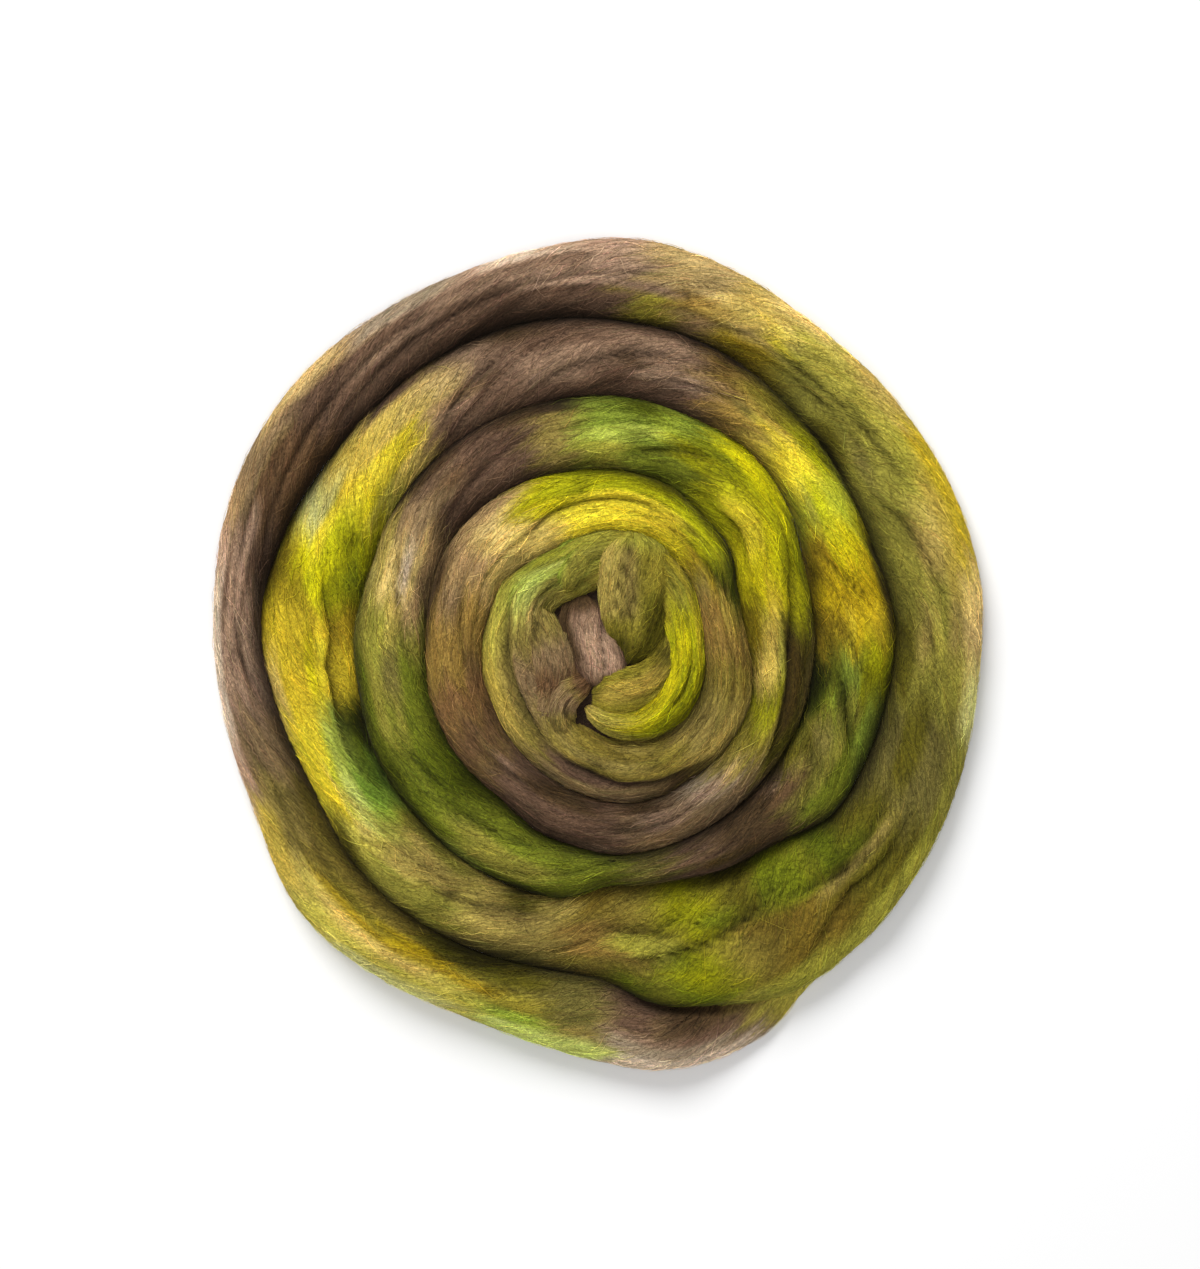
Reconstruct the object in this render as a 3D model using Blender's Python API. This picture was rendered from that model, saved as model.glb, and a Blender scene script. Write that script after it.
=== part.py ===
"""Wool roving wound into a flat coil.

One long, soft, lightly twisted strand of combed wool lies on a table in a flat coil. The
strand starts at the outside, tucked in under its own widest stretch, winds clockwise and
inwards for five turns, and ends in a small hook beside the bunched-up core.

The strand is a loft: its width and place come from one line that follows the strand's
outer edge all the way in, and its height from that width. Each turn lies a little apart
from the next, and is flat where it rests on the table.
"""
import bisect
import math

import bmesh
import bpy
from mathutils import Matrix, Vector

MM = 0.001

# Driving sizes, in millimetres, and angles in degrees.
NOMINAL_WIDTH = 36.0  # the strand's width where nothing squeezes or spreads it
NOMINAL_HEIGHT = 31.0  # its height there
LEAST_HEIGHT = 26.0  # where it spreads
MOST_HEIGHT = 38.0  # where its neighbours squeeze it
TURN_GAP = 0.6  # clear space between neighbouring turns
FOOT_SHARE = 0.07  # share of the height that the table flattens
SQUARENESS = 2.5  # exponent of the section: 2 is an ellipse, more is boxier
TWIST_PITCH = 250.0  # length of strand in which its folds go once round
FOLD_COUNT = 2  # folds side by side in the strand
FOLD_DEPTH = 0.24  # depth of the valley between two folds, as a share of the half height
LOW_FOLD_SHARE = 0.12  # share of that depth that is left at the sides and below
SWELL_HEIGHT = 1.1  # slow rise and fall of the crest along the strand
SWELL_LENGTH = 83.0  # length of one such rise and fall
WINDING_CENTRE = (3.1, -0.4)  # the winding's centre, seen from the middle of the coil

# Where the strand starts and ends, in degrees wound from the first bearing below.
START = -14.0
HOOK_END = 1847.0
HOOK_TAPER = 34.0  # stretch over which the hook draws to its tip
HOOK_TIP_SHARE = 0.42  # share of its size that the tip keeps

# The outer end lies flat under the widest stretch of the strand.
TUCK_DEPTH = 28.0  # how far in under the stretch it reaches
TUCK_HEIGHT = 9.0  # its height there
TUCK_FADE = 22.0  # degrees over which it comes out from under the stretch
TUCK_CLEARANCE = 1.0  # clear height above it
TUCK_RISE = 5.0  # how much higher the stretch stands for passing over it
END_GROWTH = 36.0  # degrees over which the end gains its full height and its folds
END_MARGIN = 1.0  # how far clear of the stretch's edge the end stays before it rises
END_SLOPE = 14.0  # distance out from there over which it rises
END_RELEASE = 12.0  # degrees past TUCK_FADE after which nothing holds it down
COVER_LEAD = 26.0  # degrees before the first bearing from which the stretch lifts
COVER_RAMP = 10.0  # degrees over which it lifts, and settles again past TUCK_FADE
COVER_MARGIN = 20.0  # how far inwards of the end the stretch's underside starts to lift
COVER_SLOPE = 10.0  # distance out from there over which it does

# Faces.
POINTS_ROUND = 18  # points in each section
SECTION_STEP = 14.0  # length of strand between two sections
LARGEST_TURN = 9.0  # largest angle between two sections

# The line along the strand's outer edge, turn after turn. A row is a ray from the winding
# centre, by its bearing clockwise from +Y, and the columns are the distances at which the
# ray crosses the line: the outside of the coil, the grooves between the turns from the
# outside in, and the edge of the core.
FIRST_BEARING = 150
EDGE_COLUMNS = ("bearing", "outside", "groove_1", "groove_2", "groove_3", "groove_4", "core")
EDGE_ROWS = (
    (150, 197.0, 194.0, 122.0, 100.0, 76.0, 47.5),
    (156, 205.5, 190.0, 119.5, 100.0, 76.5, 46.0),
    (163, 210.0, 183.5, 116.5, 100.5, 75.5, 44.0),
    (172, 209.5, 175.5, 115.0, 100.5, 75.0, 41.5),
    (180, 203.5, 163.0, 115.0, 99.5, 73.0, 39.0),
    (190, 197.0, 159.5, 123.0, 96.5, 70.5, 35.5),
    (200, 194.0, 161.0, 124.5, 94.5, 68.5, 32.0),
    (215, 196.5, 162.5, 125.0, 88.5, 65.5, 25.0),
    (230, 199.0, 163.0, 124.0, 89.0, 63.5, 21.0),
    (245, 192.0, 160.5, 125.0, 89.5, 62.0, 19.0),
    (260, 192.5, 166.0, 124.0, 89.5, 62.0, 19.0),
    (275, 196.0, 173.0, 126.0, 89.5, 62.0, 21.0),
    (290, 202.0, 172.0, 125.0, 92.5, 61.5, 26.0),
    (305, 206.0, 169.5, 128.0, 95.5, 62.5, 32.0),
    (320, 205.0, 169.5, 129.5, 95.5, 60.0, 33.0),
    (335, 204.5, 171.0, 130.0, 95.5, 58.5, 31.0),
    (350, 205.5, 171.0, 129.5, 94.0, 60.5, 33.0),
    (5, 208.5, 167.5, 129.0, 93.0, 62.5, 36.0),
    (20, 202.5, 162.0, 127.0, 90.5, 61.0, 37.0),
    (35, 194.5, 155.0, 125.5, 85.0, 59.0, 36.0),
    (50, 193.5, 149.0, 118.5, 81.5, 56.0, 34.0),
    (65, 193.0, 144.0, 110.0, 73.0, 52.0, 32.0),
    (80, 191.0, 145.0, 105.5, 70.5, 50.0, 31.0),
    (95, 187.0, 143.0, 103.5, 74.0, 50.0, 31.0),
    (110, 189.0, 141.0, 102.0, 77.0, 50.0, 31.0),
    (125, 190.5, 139.0, 100.0, 77.0, 50.0, 31.0),
    (138, 193.0, 126.0, 100.0, 76.5, 49.0, 31.0),
)
# The same line before its first ray, where the end is tucked in, and past its last, along
# the inside of the hook, in degrees wound.
LINE_COLUMNS = ("wound", "distance")
TUCKED_ROWS = (
    (-30.0, 178.0),
    (-14.0, 184.0),
)
HOOK_ROWS = (
    (2160.0, 31.0),
    (2173.0, 29.5),
    (2190.0, 27.0),
    (2215.0, 24.0),
)

# The bunches of strand that fill the core, in millimetres from the winding centre, each
# turned anticlockwise by its angle.
BUNCH_COLUMNS = ("name", "x", "y", "length", "width", "height", "angle")
BUNCH_ROWS = (
    ("bed", -2.0, 4.0, 72.0, 62.0, 22.0, 90.0),
    ("plug", -7.0, 8.0, 46.0, 26.0, 33.0, 111.0),
    ("hanging_fold", 12.0, 26.5, 62.0, 33.0, 38.0, 98.0),
    ("inner_bend", 12.5, -17.0, 50.0, 22.0, 32.0, 25.0),
)
BUNCH_SEGMENTS = 20
BUNCH_RINGS = 12
BUNCH_FOOT = 1.5  # clear height under a bunch

WOOL_COLOUR = (0.36, 0.33, 0.14, 1.0)
WOOL_ROUGHNESS = 0.9


def smooth_step(value):
    """A soft ramp from 0 to 1."""
    value = min(max(value, 0.0), 1.0)
    return value * value * (3.0 - 2.0 * value)


def edge_knots():
    """The edge line's points in order, as degrees wound and distance from the centre."""
    knots = []
    for row in TUCKED_ROWS + HOOK_ROWS:
        values = dict(zip(LINE_COLUMNS, row))
        knots.append((values["wound"], values["distance"]))
    for row in EDGE_ROWS:
        values = dict(zip(EDGE_COLUMNS, row))
        wound = (values["bearing"] - FIRST_BEARING) % 360
        for turn, column in enumerate(EDGE_COLUMNS[1:]):
            knots.append((wound + 360.0 * turn, values[column]))
    return sorted(knots)


KNOTS = edge_knots()
KNOT_ANGLES = [angle for angle, distance in KNOTS]


def slope(index):
    """The edge line's slope at a knot, from its neighbours."""
    before = KNOTS[max(index - 1, 0)]
    after = KNOTS[min(index + 1, len(KNOTS) - 1)]
    return (after[1] - before[1]) / (after[0] - before[0])


def edge(wound):
    """Distance of the strand's outer edge from the winding centre: a smooth curve."""
    wound = min(max(wound, KNOT_ANGLES[0]), KNOT_ANGLES[-1])
    index = min(bisect.bisect_right(KNOT_ANGLES, wound), len(KNOTS) - 1) - 1
    (low, start), (high, end) = KNOTS[index], KNOTS[index + 1]
    span = high - low
    part = (wound - low) / span
    return (
        start * (1.0 + 2.0 * part) * (1.0 - part) ** 2
        + end * part**2 * (3.0 - 2.0 * part)
        + slope(index) * span * part * (1.0 - part) ** 2
        - slope(index + 1) * span * part**2 * (1.0 - part)
    )


def tuck_reach(wound):
    """How far the outer end reaches in under the stretch that covers it."""
    return TUCK_DEPTH * smooth_step((TUCK_FADE - wound) / TUCK_FADE)


def strand_sides(wound):
    """Inner and outer distance of the strand from the winding centre."""
    inner = edge(wound + 360.0) + TURN_GAP / 2.0
    if wound < TUCK_FADE:
        inner -= tuck_reach(wound)
    return inner, edge(wound) - TURN_GAP / 2.0


def over_tuck(wound):
    """1 where the strand passes over the outer end, and 0 elsewhere."""
    covered = wound - 360.0
    lifting = smooth_step((covered + COVER_LEAD) / COVER_RAMP)
    settling = smooth_step((TUCK_FADE + COVER_RAMP - covered) / COVER_RAMP)
    return lifting * settling


def strand_height(wound, width, length):
    """Height of the crest: a narrow stretch stands taller than a spread one."""
    height = NOMINAL_HEIGHT * math.sqrt(NOMINAL_WIDTH / width)
    height = min(max(height, LEAST_HEIGHT), MOST_HEIGHT)
    height += SWELL_HEIGHT * math.sin(2.0 * math.pi * length / SWELL_LENGTH)
    height += TUCK_RISE * over_tuck(wound)
    return TUCK_HEIGHT + (height - TUCK_HEIGHT) * smooth_step(wound / END_GROWTH)


def highest_over_tuck(wound, distance):
    """Highest that the outer end may reach, so that it clears the stretch over it."""
    free = smooth_step((distance - edge(wound + 360.0) - END_MARGIN) / END_SLOPE)
    fading = smooth_step((wound - TUCK_FADE) / END_RELEASE)
    return TUCK_HEIGHT + MOST_HEIGHT * max(free, fading)


def lowest_over_tuck(wound, distance):
    """Lowest that the stretch over the outer end may reach at its underside."""
    inner = edge(wound) - tuck_reach(wound - 360.0)
    across = smooth_step((distance - inner + COVER_MARGIN) / COVER_SLOPE)
    return (TUCK_HEIGHT + TUCK_CLEARANCE) * over_tuck(wound) * across


def rounded(value):
    """A sine or cosine turned into the boxier curve of the strand's section."""
    return math.copysign(abs(value) ** (2.0 / SQUARENESS), value)


def section(wound, length):
    """Points of the section at an angle, as (distance, height), from the outer side up."""
    inner, outer = strand_sides(wound)
    height = strand_height(wound, outer - inner, length)
    taper = smooth_step((HOOK_END - wound) / HOOK_TAPER)
    size = HOOK_TIP_SHARE + (1.0 - HOOK_TIP_SHARE) * math.sqrt(taper)
    middle, half = (inner + outer) / 2.0, (outer - inner) / 2.0 * size
    height *= size
    points = []
    for index in range(POINTS_ROUND):
        angle = 2.0 * math.pi * index / POINTS_ROUND
        turned = angle + 2.0 * math.pi * length / TWIST_PITCH
        valley = 0.5 - 0.5 * math.cos(FOLD_COUNT * turned)
        upward = LOW_FOLD_SHARE + (1.0 - LOW_FOLD_SHARE) * max(math.sin(angle), 0.0)
        shrink = 1.0 - FOLD_DEPTH * upward * valley * smooth_step(wound / END_GROWTH)
        distance = middle + half * rounded(math.cos(angle)) * shrink
        level = 0.5 + 0.5 * rounded(math.sin(angle)) * shrink
        level = max(level - FOOT_SHARE, 0.0) / (1.0 - FOOT_SHARE) * height
        if wound < TUCK_FADE + END_RELEASE:
            level = min(level, highest_over_tuck(wound, distance))
        level = max(level, lowest_over_tuck(wound, distance))
        points.append((distance, level))
    return points


def place(wound, distance, level):
    """A point of the coil, in metres, from the angle wound, the distance and the height."""
    bearing = math.radians(FIRST_BEARING + wound)
    x = WINDING_CENTRE[0] + distance * math.sin(bearing)
    y = WINDING_CENTRE[1] + distance * math.cos(bearing)
    return Vector((x, y, level)) * MM


def stations():
    """Angles of the sections, each with the length of strand up to it."""
    found = []
    wound = START
    length = 0.0
    while wound < HOOK_END:
        found.append((wound, length))
        inner, outer = strand_sides(wound)
        radius = (inner + outer) / 2.0
        step = min(math.degrees(SECTION_STEP / radius), LARGEST_TURN)
        wound += step
        length += math.radians(step) * radius
    found.append((HOOK_END, length))
    return found


def new_object(name, mesh_builder, collection):
    """An object with the mesh that is built in mesh_builder."""
    mesh = bpy.data.meshes.new(name)
    mesh_builder.to_mesh(mesh)
    mesh_builder.free()
    made = bpy.data.objects.new(name, mesh)
    collection.objects.link(made)
    return made


def make_strand(collection):
    """The strand, lofted through its sections, which all differ in width and height."""
    builder = bmesh.new()
    rings = []
    for wound, length in stations():
        points = section(wound, length)
        rings.append([builder.verts.new(place(wound, *point)) for point in points])
    for ring, following in zip(rings, rings[1:]):
        for index in range(POINTS_ROUND):
            after = (index + 1) % POINTS_ROUND
            builder.faces.new((ring[index], ring[after], following[after], following[index]))
    builder.faces.new(rings[0])
    builder.faces.new(rings[-1])
    bmesh.ops.recalc_face_normals(builder, faces=builder.faces)
    return new_object("wool_roving", builder, collection)


def make_bunch(row, collection):
    """One bunch of the core: a squashed ball, clear of the table."""
    size = Vector((row["length"], row["width"], row["height"])) * MM / 2.0
    builder = bmesh.new()
    bmesh.ops.create_uvsphere(
        builder, u_segments=BUNCH_SEGMENTS, v_segments=BUNCH_RINGS, radius=1.0
    )
    bmesh.ops.scale(builder, vec=size, verts=builder.verts)
    for vertex in builder.verts:
        vertex.co.z = max(vertex.co.z + size.z, BUNCH_FOOT * MM)
    turn = Matrix.Rotation(math.radians(row["angle"]), 3, "Z")
    bmesh.ops.rotate(builder, cent=(0.0, 0.0, 0.0), matrix=turn, verts=builder.verts)
    centre = Vector((WINDING_CENTRE[0] + row["x"], WINDING_CENTRE[1] + row["y"], 0.0)) * MM
    bmesh.ops.translate(builder, vec=centre, verts=builder.verts)
    bunch = new_object("bunch_" + row["name"], builder, collection)
    bunch.hide_render = True
    bunch.display_type = "WIRE"
    return bunch


def wool_material():
    """Matt wool in the mean colour of its dyes."""
    material = bpy.data.materials.new("dyed_wool")
    material.use_nodes = True
    shader = material.node_tree.nodes["Principled BSDF"]
    shader.inputs["Base Color"].default_value = WOOL_COLOUR
    shader.inputs["Roughness"].default_value = WOOL_ROUGHNESS
    shader.inputs["Metallic"].default_value = 0.0
    return material


def new_collection(name):
    """A collection linked to the scene."""
    collection = bpy.data.collections.new(name)
    bpy.context.scene.collection.children.link(collection)
    return collection


def main():
    """Builds the coil as one solid."""
    for old in list(bpy.data.objects):
        bpy.data.objects.remove(old, do_unlink=True)
    strand = make_strand(new_collection("wool_roving"))
    bunches = new_collection("wool_roving_bunches")
    for row in BUNCH_ROWS:
        bunch = make_bunch(dict(zip(BUNCH_COLUMNS, row)), bunches)
        union = strand.modifiers.new(bunch.name, "BOOLEAN")
        union.operation = "UNION"
        union.object = bunch
    strand.data.materials.append(wool_material())
    strand.data.shade_smooth()


main()
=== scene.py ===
import math

import bpy
import numpy as np
from bpy.props import FloatProperty, FloatVectorProperty, IntProperty, PointerProperty
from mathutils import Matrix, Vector


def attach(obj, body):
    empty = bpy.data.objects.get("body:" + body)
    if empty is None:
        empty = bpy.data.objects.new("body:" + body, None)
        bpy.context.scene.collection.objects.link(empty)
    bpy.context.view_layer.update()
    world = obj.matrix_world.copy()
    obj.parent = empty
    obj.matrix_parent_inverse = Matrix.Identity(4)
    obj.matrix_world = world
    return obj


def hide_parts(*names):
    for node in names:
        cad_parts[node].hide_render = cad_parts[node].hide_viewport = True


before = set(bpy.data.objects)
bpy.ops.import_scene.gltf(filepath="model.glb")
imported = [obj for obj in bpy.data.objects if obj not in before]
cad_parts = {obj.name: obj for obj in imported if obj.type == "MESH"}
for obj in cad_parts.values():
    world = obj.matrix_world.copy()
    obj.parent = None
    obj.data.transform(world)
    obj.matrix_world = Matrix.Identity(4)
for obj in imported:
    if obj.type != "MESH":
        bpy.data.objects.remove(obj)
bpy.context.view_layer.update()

bl_info = {
    "name": "Wool Roving Coil",
    "version": (1, 0, 0),
    "blender": (4, 5, 0),
    "location": "3D View > Sidebar > Roving",
    "description": "Dresses the solid of a coiled wool roving with combed, dyed fibres",
    "category": "Add Mesh",
}

NODE = "wool_roving"
BODY = "root"
MM = 0.001
FULL_TURN = 2.0 * math.pi

# ---------------------------------------------------------------------------------------
# The winding: sizes in millimetres, angles in degrees wound from the first bearing.

WINDING_CENTRE = (3.1, -0.4)
FIRST_BEARING = 150
START = -14.0
START_CAP = 12.0  # length in which the outer end closes to a round tip
HOOK_END = 1859.0
WINDING_STEPS = 4000
HOOK_CAP = 9.0
HOOK_TAPER = 26.0
HOOK_TIP_SHARE = 0.58
TIP_BLUNTNESS = 0.5
CORE_CAP = 14.0
CORE_DROP = 3.0  # how far a bunch sinks at its tips
CORE_FLOOR = 0.5
FOOT_SHARE = 0.07
SQUARENESS = 2.1
FOLD_COUNT = 2
LOWER_FOLDS = 0.12  # share of the folds' depth that is left below the widest line
SWELL_HEIGHT = 1.1
SWELL_LENGTH = 83.0
LEAST_HEIGHT = 26.0
MOST_HEIGHT = 38.0
MIDDLE_HEIGHT = 16.0
LEAST_REACH = 0.5  # added to a distance from the middle line before it divides

# The tucked outer end, and the stretch that passes over it.
TUCK_DEPTH = 28.0
TUCK_HEIGHT = 9.0
TUCK_FADE = 22.0
TUCK_END = 12.0
TUCK_MARGIN = 1.0
TUCK_SLOPE = 14.0
TUCK_CLEARANCE = 1.0
TUCK_RISE = 5.0
TUCKED_RELIEF = 0.25
END_GROWTH = 36.0
COVER_LEAD = 26.0
COVER_FADE = 10.0
COVER_REACH = 20.0
COVER_SLOPE = 10.0

# Noise along the fibres: a layer's length, its number round the strand, and its strength.
NOISE_SIZE = 256
NOISE_SEED = 7
NOISE_SHIFT = 37.3  # cells along that each further seed moves the noise
NOISE_ROW_SHIFT = 53  # cells across that it moves it
FOLD_LAYERS = ((95.0, 5, 1.8), (60.0, 13, 0.9), (38.0, 34, 0.5), (26.0, 80, 0.24))
FINE_CREASES = ((110.0, 7, 2.6, 0.05), (70.0, 19, 0.9, 0.06))  # and the width of a crease
PUCKER_LAYERS = ((15.0, 7, 2.0),)
STREAK_LAYERS = ((60.0, 17, 14.0), (40.0, 53, 8.0))
STRAND_SEED = 1
STREAK_SEED = 3
PUCKER_SEED = 8
WANDER_SEED = 11
FIRST_BUNCH_SEED = 20
BUNCH_SEED_STEP = 10
BUNCH_RELIEF = 1.5  # depth of a bunch's folds, where the strand's is 1
BUNCH_TWIST = 60.0  # length of a bunch in which its fibres turn by a radian
CREASE_POWER = 1.5
CREASE_START = 0.1  # sine of the angle above which the deep creases lie

# Meshes: rings and points round, and the maps' margins as shares of a row or a cell.
CORE_RINGS = 44
CORE_POINTS = 40
MAP_ROW_LENGTH = 105.0
COMBING_WIDTH = 16.0  # millimetres of the wool's pattern for a radian round the strand
END_MARGIN = 0.01
ROW_MARGIN = 0.03
CELL_END_MARGIN = 0.06
CELL_SIDE_MARGIN = 0.1
MOST_FACES = 190000

# Fibres and hairs: a least value and the range above it, or a standard deviation.
FIBRE_SEED = 21
FIBRE_RINGS = 4
FIBRE_CRIMP_LENGTH = 22.0
FIBRE_INSET = 0.3
FIBRE_FLATNESS = 0.7
FLOOR_CLEARANCE = 0.05
TRIES = 3  # places tried for each fibre
BUNCH_DENSITY = 1.5  # fibres to a length of a bunch, where the strand has 1
OPEN_TURN = 375.0  # degrees wound in which the strand's outer flank lies open
OPEN_DENSITY = 0.7
COVERED_DENSITY = 0.12
LOWEST_SINE = -0.85
LONGEST_SHARE = 0.45
LENGTH_RANGE = (0.55, 0.9)
THICKNESS_RANGE = (0.5, 1.0)
FIBRE_RISE = (0.25, 0.35)
FIBRE_ENDS = (-0.15, -0.2)
FIBRE_STRAY = 0.24
FIBRE_CRIMP = 0.03
BLEED_SPREAD = 4.0
SHADE_SPREAD = 0.31
HUE_SPREAD = 0.05
HAIR_SEED = 33
HAIR_RINGS = 7
HAIR_CRIMP_LENGTH = 5.5
HAIR_RISE = (0.3, 0.7)
HAIR_ENDS = (0.0, 0.25)
HAIR_TIP = (0.0, 1.8)
HAIR_STRAY = 0.42
HAIR_CRIMP = 0.035

# How dyes run into each other, and the painted shade and light that grooves and folds lay on them.
DYE_BLEED = 24.0  # millimetres over which one dye runs into the next
DYE_SIDE_BLEED = 0.13  # the same across the strand, as a share of its width
DYE_WANDER = 0.1  # how far the dyes' edges wander across, as a share of the width
WANDER_LENGTH = 30.0
WANDER_CELLS = 3.0
FLANK_INSET = 0.2
FLANK_FADE = 0.5
BUNCH_BLEED = 0.15
BUNCH_SIDE_BLEED = 0.2
BUNCH_STREAK = 300.0  # millimetres of streak that shift a bunch's dyes by its length
# Painted shade beside the grooves: millimetres over which it fades at the inner and the outer
# side, the curve of its fading, and the most that it darkens.
INNER_GROOVE = 5.0
OUTER_GROOVE = 3.7
GROOVE_POWER = 1.4
DARKEST_GROOVE_SHADE = 0.9
HOLLOW_SHADE = 0.13  # change of light for a millimetre of relief
HOLLOW_LIMITS = (-0.75, 0.2)
# Painted shade down a bunch's lower sides: the sine of the angle round where it starts, and the
# fall of the sine over which it deepens fully.
FLANK_START = 0.2
FLANK_REACH = 0.7
SHEEN_TINT = (1.0, 0.84, 0.62, 1.0)
SHEEN_ROUGHNESS = 0.5

# The wool's own pattern: its crimp, and the streaks along its combing, which sways.
CRIMP_NOISE = {"Scale": 750.0, "Detail": 2.0, "Distortion": 1.2}
CRIMP_LIMITS = (0.3, 0.7)
SWAY_NOISE = {"Scale": 170.0, "Detail": 1.0}
SWAY = (0.0, 0.005, 0.0)
STREAK_NOISE = {"Scale": 1.0, "Detail": 4.0, "Roughness": 0.7}
STREAK_STRETCH = (60.0, 1500.0, 1.0)
STREAK_LIMITS = (0.25, 0.75)
STREAK_LIGHT = (0.38, 1.45)
STREAK_BUMP = {"Strength": 0.6, "Distance": 0.0004}

# The photo's width, its centre and the winding's centre in its pixels, and the stage in
# metres: the lights with their places and widths.
PHOTO_WIDTH = 1200.0
PHOTO_CENTRE = (600.0, 634.5)
WINDING_PIXEL = (605.0, 655.0)
SENSOR_WIDTH = 36.0
FLOOR_SIZE = 6.0
FLOOR_LEVEL = -0.0002
LIGHTS = (
    ("key", (-1.3, 2.7, 2.9), 2.2),
    ("overhead", (0.0, -0.3, 2.2), 1.4),
)

# The line along the strand's outer edge, a row for each ray from the winding centre.
EDGE_COLUMNS = ("bearing", "outside", "groove_1", "groove_2", "groove_3", "groove_4", "core")
EDGE_ROWS = (
    (150, 197.0, 194.0, 122.0, 100.0, 76.0, 47.5),
    (156, 205.5, 190.0, 119.5, 100.0, 76.5, 46.0),
    (163, 210.0, 183.5, 116.5, 100.5, 75.5, 44.0),
    (172, 209.5, 175.5, 115.0, 100.5, 75.0, 41.5),
    (180, 203.5, 163.0, 115.0, 99.5, 73.0, 39.0),
    (190, 197.0, 159.5, 123.0, 96.5, 70.5, 35.5),
    (200, 194.0, 161.0, 124.5, 94.5, 68.5, 32.0),
    (215, 196.5, 162.5, 125.0, 88.5, 65.5, 25.0),
    (230, 199.0, 163.0, 124.0, 89.0, 63.5, 21.0),
    (245, 192.0, 160.5, 125.0, 89.5, 62.0, 19.0),
    (260, 192.5, 166.0, 124.0, 89.5, 62.0, 19.0),
    (275, 196.0, 173.0, 126.0, 89.5, 62.0, 21.0),
    (290, 202.0, 172.0, 125.0, 92.5, 61.5, 26.0),
    (305, 206.0, 169.5, 128.0, 95.5, 62.5, 32.0),
    (320, 205.0, 169.5, 129.5, 95.5, 60.0, 33.0),
    (335, 204.5, 171.0, 130.0, 95.5, 58.5, 31.0),
    (350, 205.5, 171.0, 129.5, 94.0, 60.5, 33.0),
    (5, 208.5, 167.5, 129.0, 93.0, 62.5, 36.0),
    (20, 202.5, 162.0, 127.0, 90.5, 61.0, 37.0),
    (35, 194.5, 155.0, 125.5, 85.0, 59.0, 36.0),
    (50, 193.5, 149.0, 118.5, 81.5, 56.0, 34.0),
    (65, 193.0, 144.0, 110.0, 73.0, 52.0, 32.0),
    (80, 191.0, 145.0, 105.5, 70.5, 50.0, 31.0),
    (95, 187.0, 143.0, 103.5, 74.0, 50.0, 31.0),
    (110, 189.0, 141.0, 102.0, 77.0, 50.0, 31.0),
    (125, 190.5, 139.0, 100.0, 77.0, 50.0, 31.0),
    (138, 193.0, 126.0, 100.0, 76.5, 49.0, 31.0),
)
# How strongly short puckers cross the folds: the angle wound, and millimetres of relief.
PUCKER_ROWS = (
    (-14, 0.5), (430, 0.6), (450, 1.2), (500, 1.2), (520, 0.7), (620, 0.9), (640, 2.2), (700, 2.2),
    (716, 0.7), (925, 0.7), (945, 2.0), (1035, 1.8), (1055, 0.8), (1140, 0.7), (1850, 0.7),
)
# How the twist slackens inwards: the angle wound, and the pitch as a share of the plan's.
PITCH_ROWS = ((0, 1.2), (360, 1.0), (720, 1.2), (1080, 2.0), (1440, 4.0), (1850, 3.0))
# The edge line's ends, in the tuck and round the hook: the angle wound, and the distance.
TUCKED_ROWS = ((-30.0, 178.0), (-14.0, 184.0))
HOOK_ROWS = ((2160.0, 31.0), (2173.0, 29.5), (2190.0, 27.0), (2215.0, 24.0))

# How strongly the painted shade beside the grooves at the strand's inner and outer sides
# darkens its colour: the angle wound, and the strength at either side.
GROOVE_ROWS = (
    (-14, 1.0, 0.0), (250, 1.0, 0.0), (258, 1.5, 0.0), (266, 1.0, 0.0), (350, 1.0, 0.0),
    (390, 0.8, 1.0), (398, 0.4, 1.0), (404, 0.5, 1.0), (409, 1.0, 1.0), (415, 0.5, 1.0),
    (424, 0.4, 1.0), (436, 0.9, 1.0), (446, 0.9, 1.0), (452, 1.0, 0.3), (466, 0.9, 0.2),
    (474, 0.3, 0.3), (486, 0.3, 0.3), (495, 0.7, 1.1), (512, 0.4, 1.1), (530, 0.5, 1.1),
    (545, 0.6, 1.15), (640, 1.0, 1.0), (665, 1.1, 1.1), (690, 1.0, 1.0), (735, 1.0, 0.6),
    (758, 0.9, 0.5), (766, 0.9, 1.1), (810, 0.8, 1.1), (852, 0.8, 0.8), (862, 0.8, 0.3),
    (870, 0.8, 0.4), (880, 0.9, 1.15), (922, 0.9, 1.0), (950, 0.5, 0.2), (995, 0.5, 0.2),
    (1012, 0.4, 0.7), (1060, 0.5, 0.9), (1090, 0.5, 0.6), (1116, 0.45, 0.6), (1127, 0.4, 1.0),
    (1150, 0.35, 0.6), (1240, 0.35, 0.4), (1280, 0.05, 0.5), (1292, 0.05, 1.0), (1312, 0.35, 1.0),
    (1345, 0.35, 1.0), (1364, 0.35, 0.3), (1415, 0.35, 0.3), (1440, 0.3, 0.5), (1850, 0.3, 0.3),
)

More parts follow.
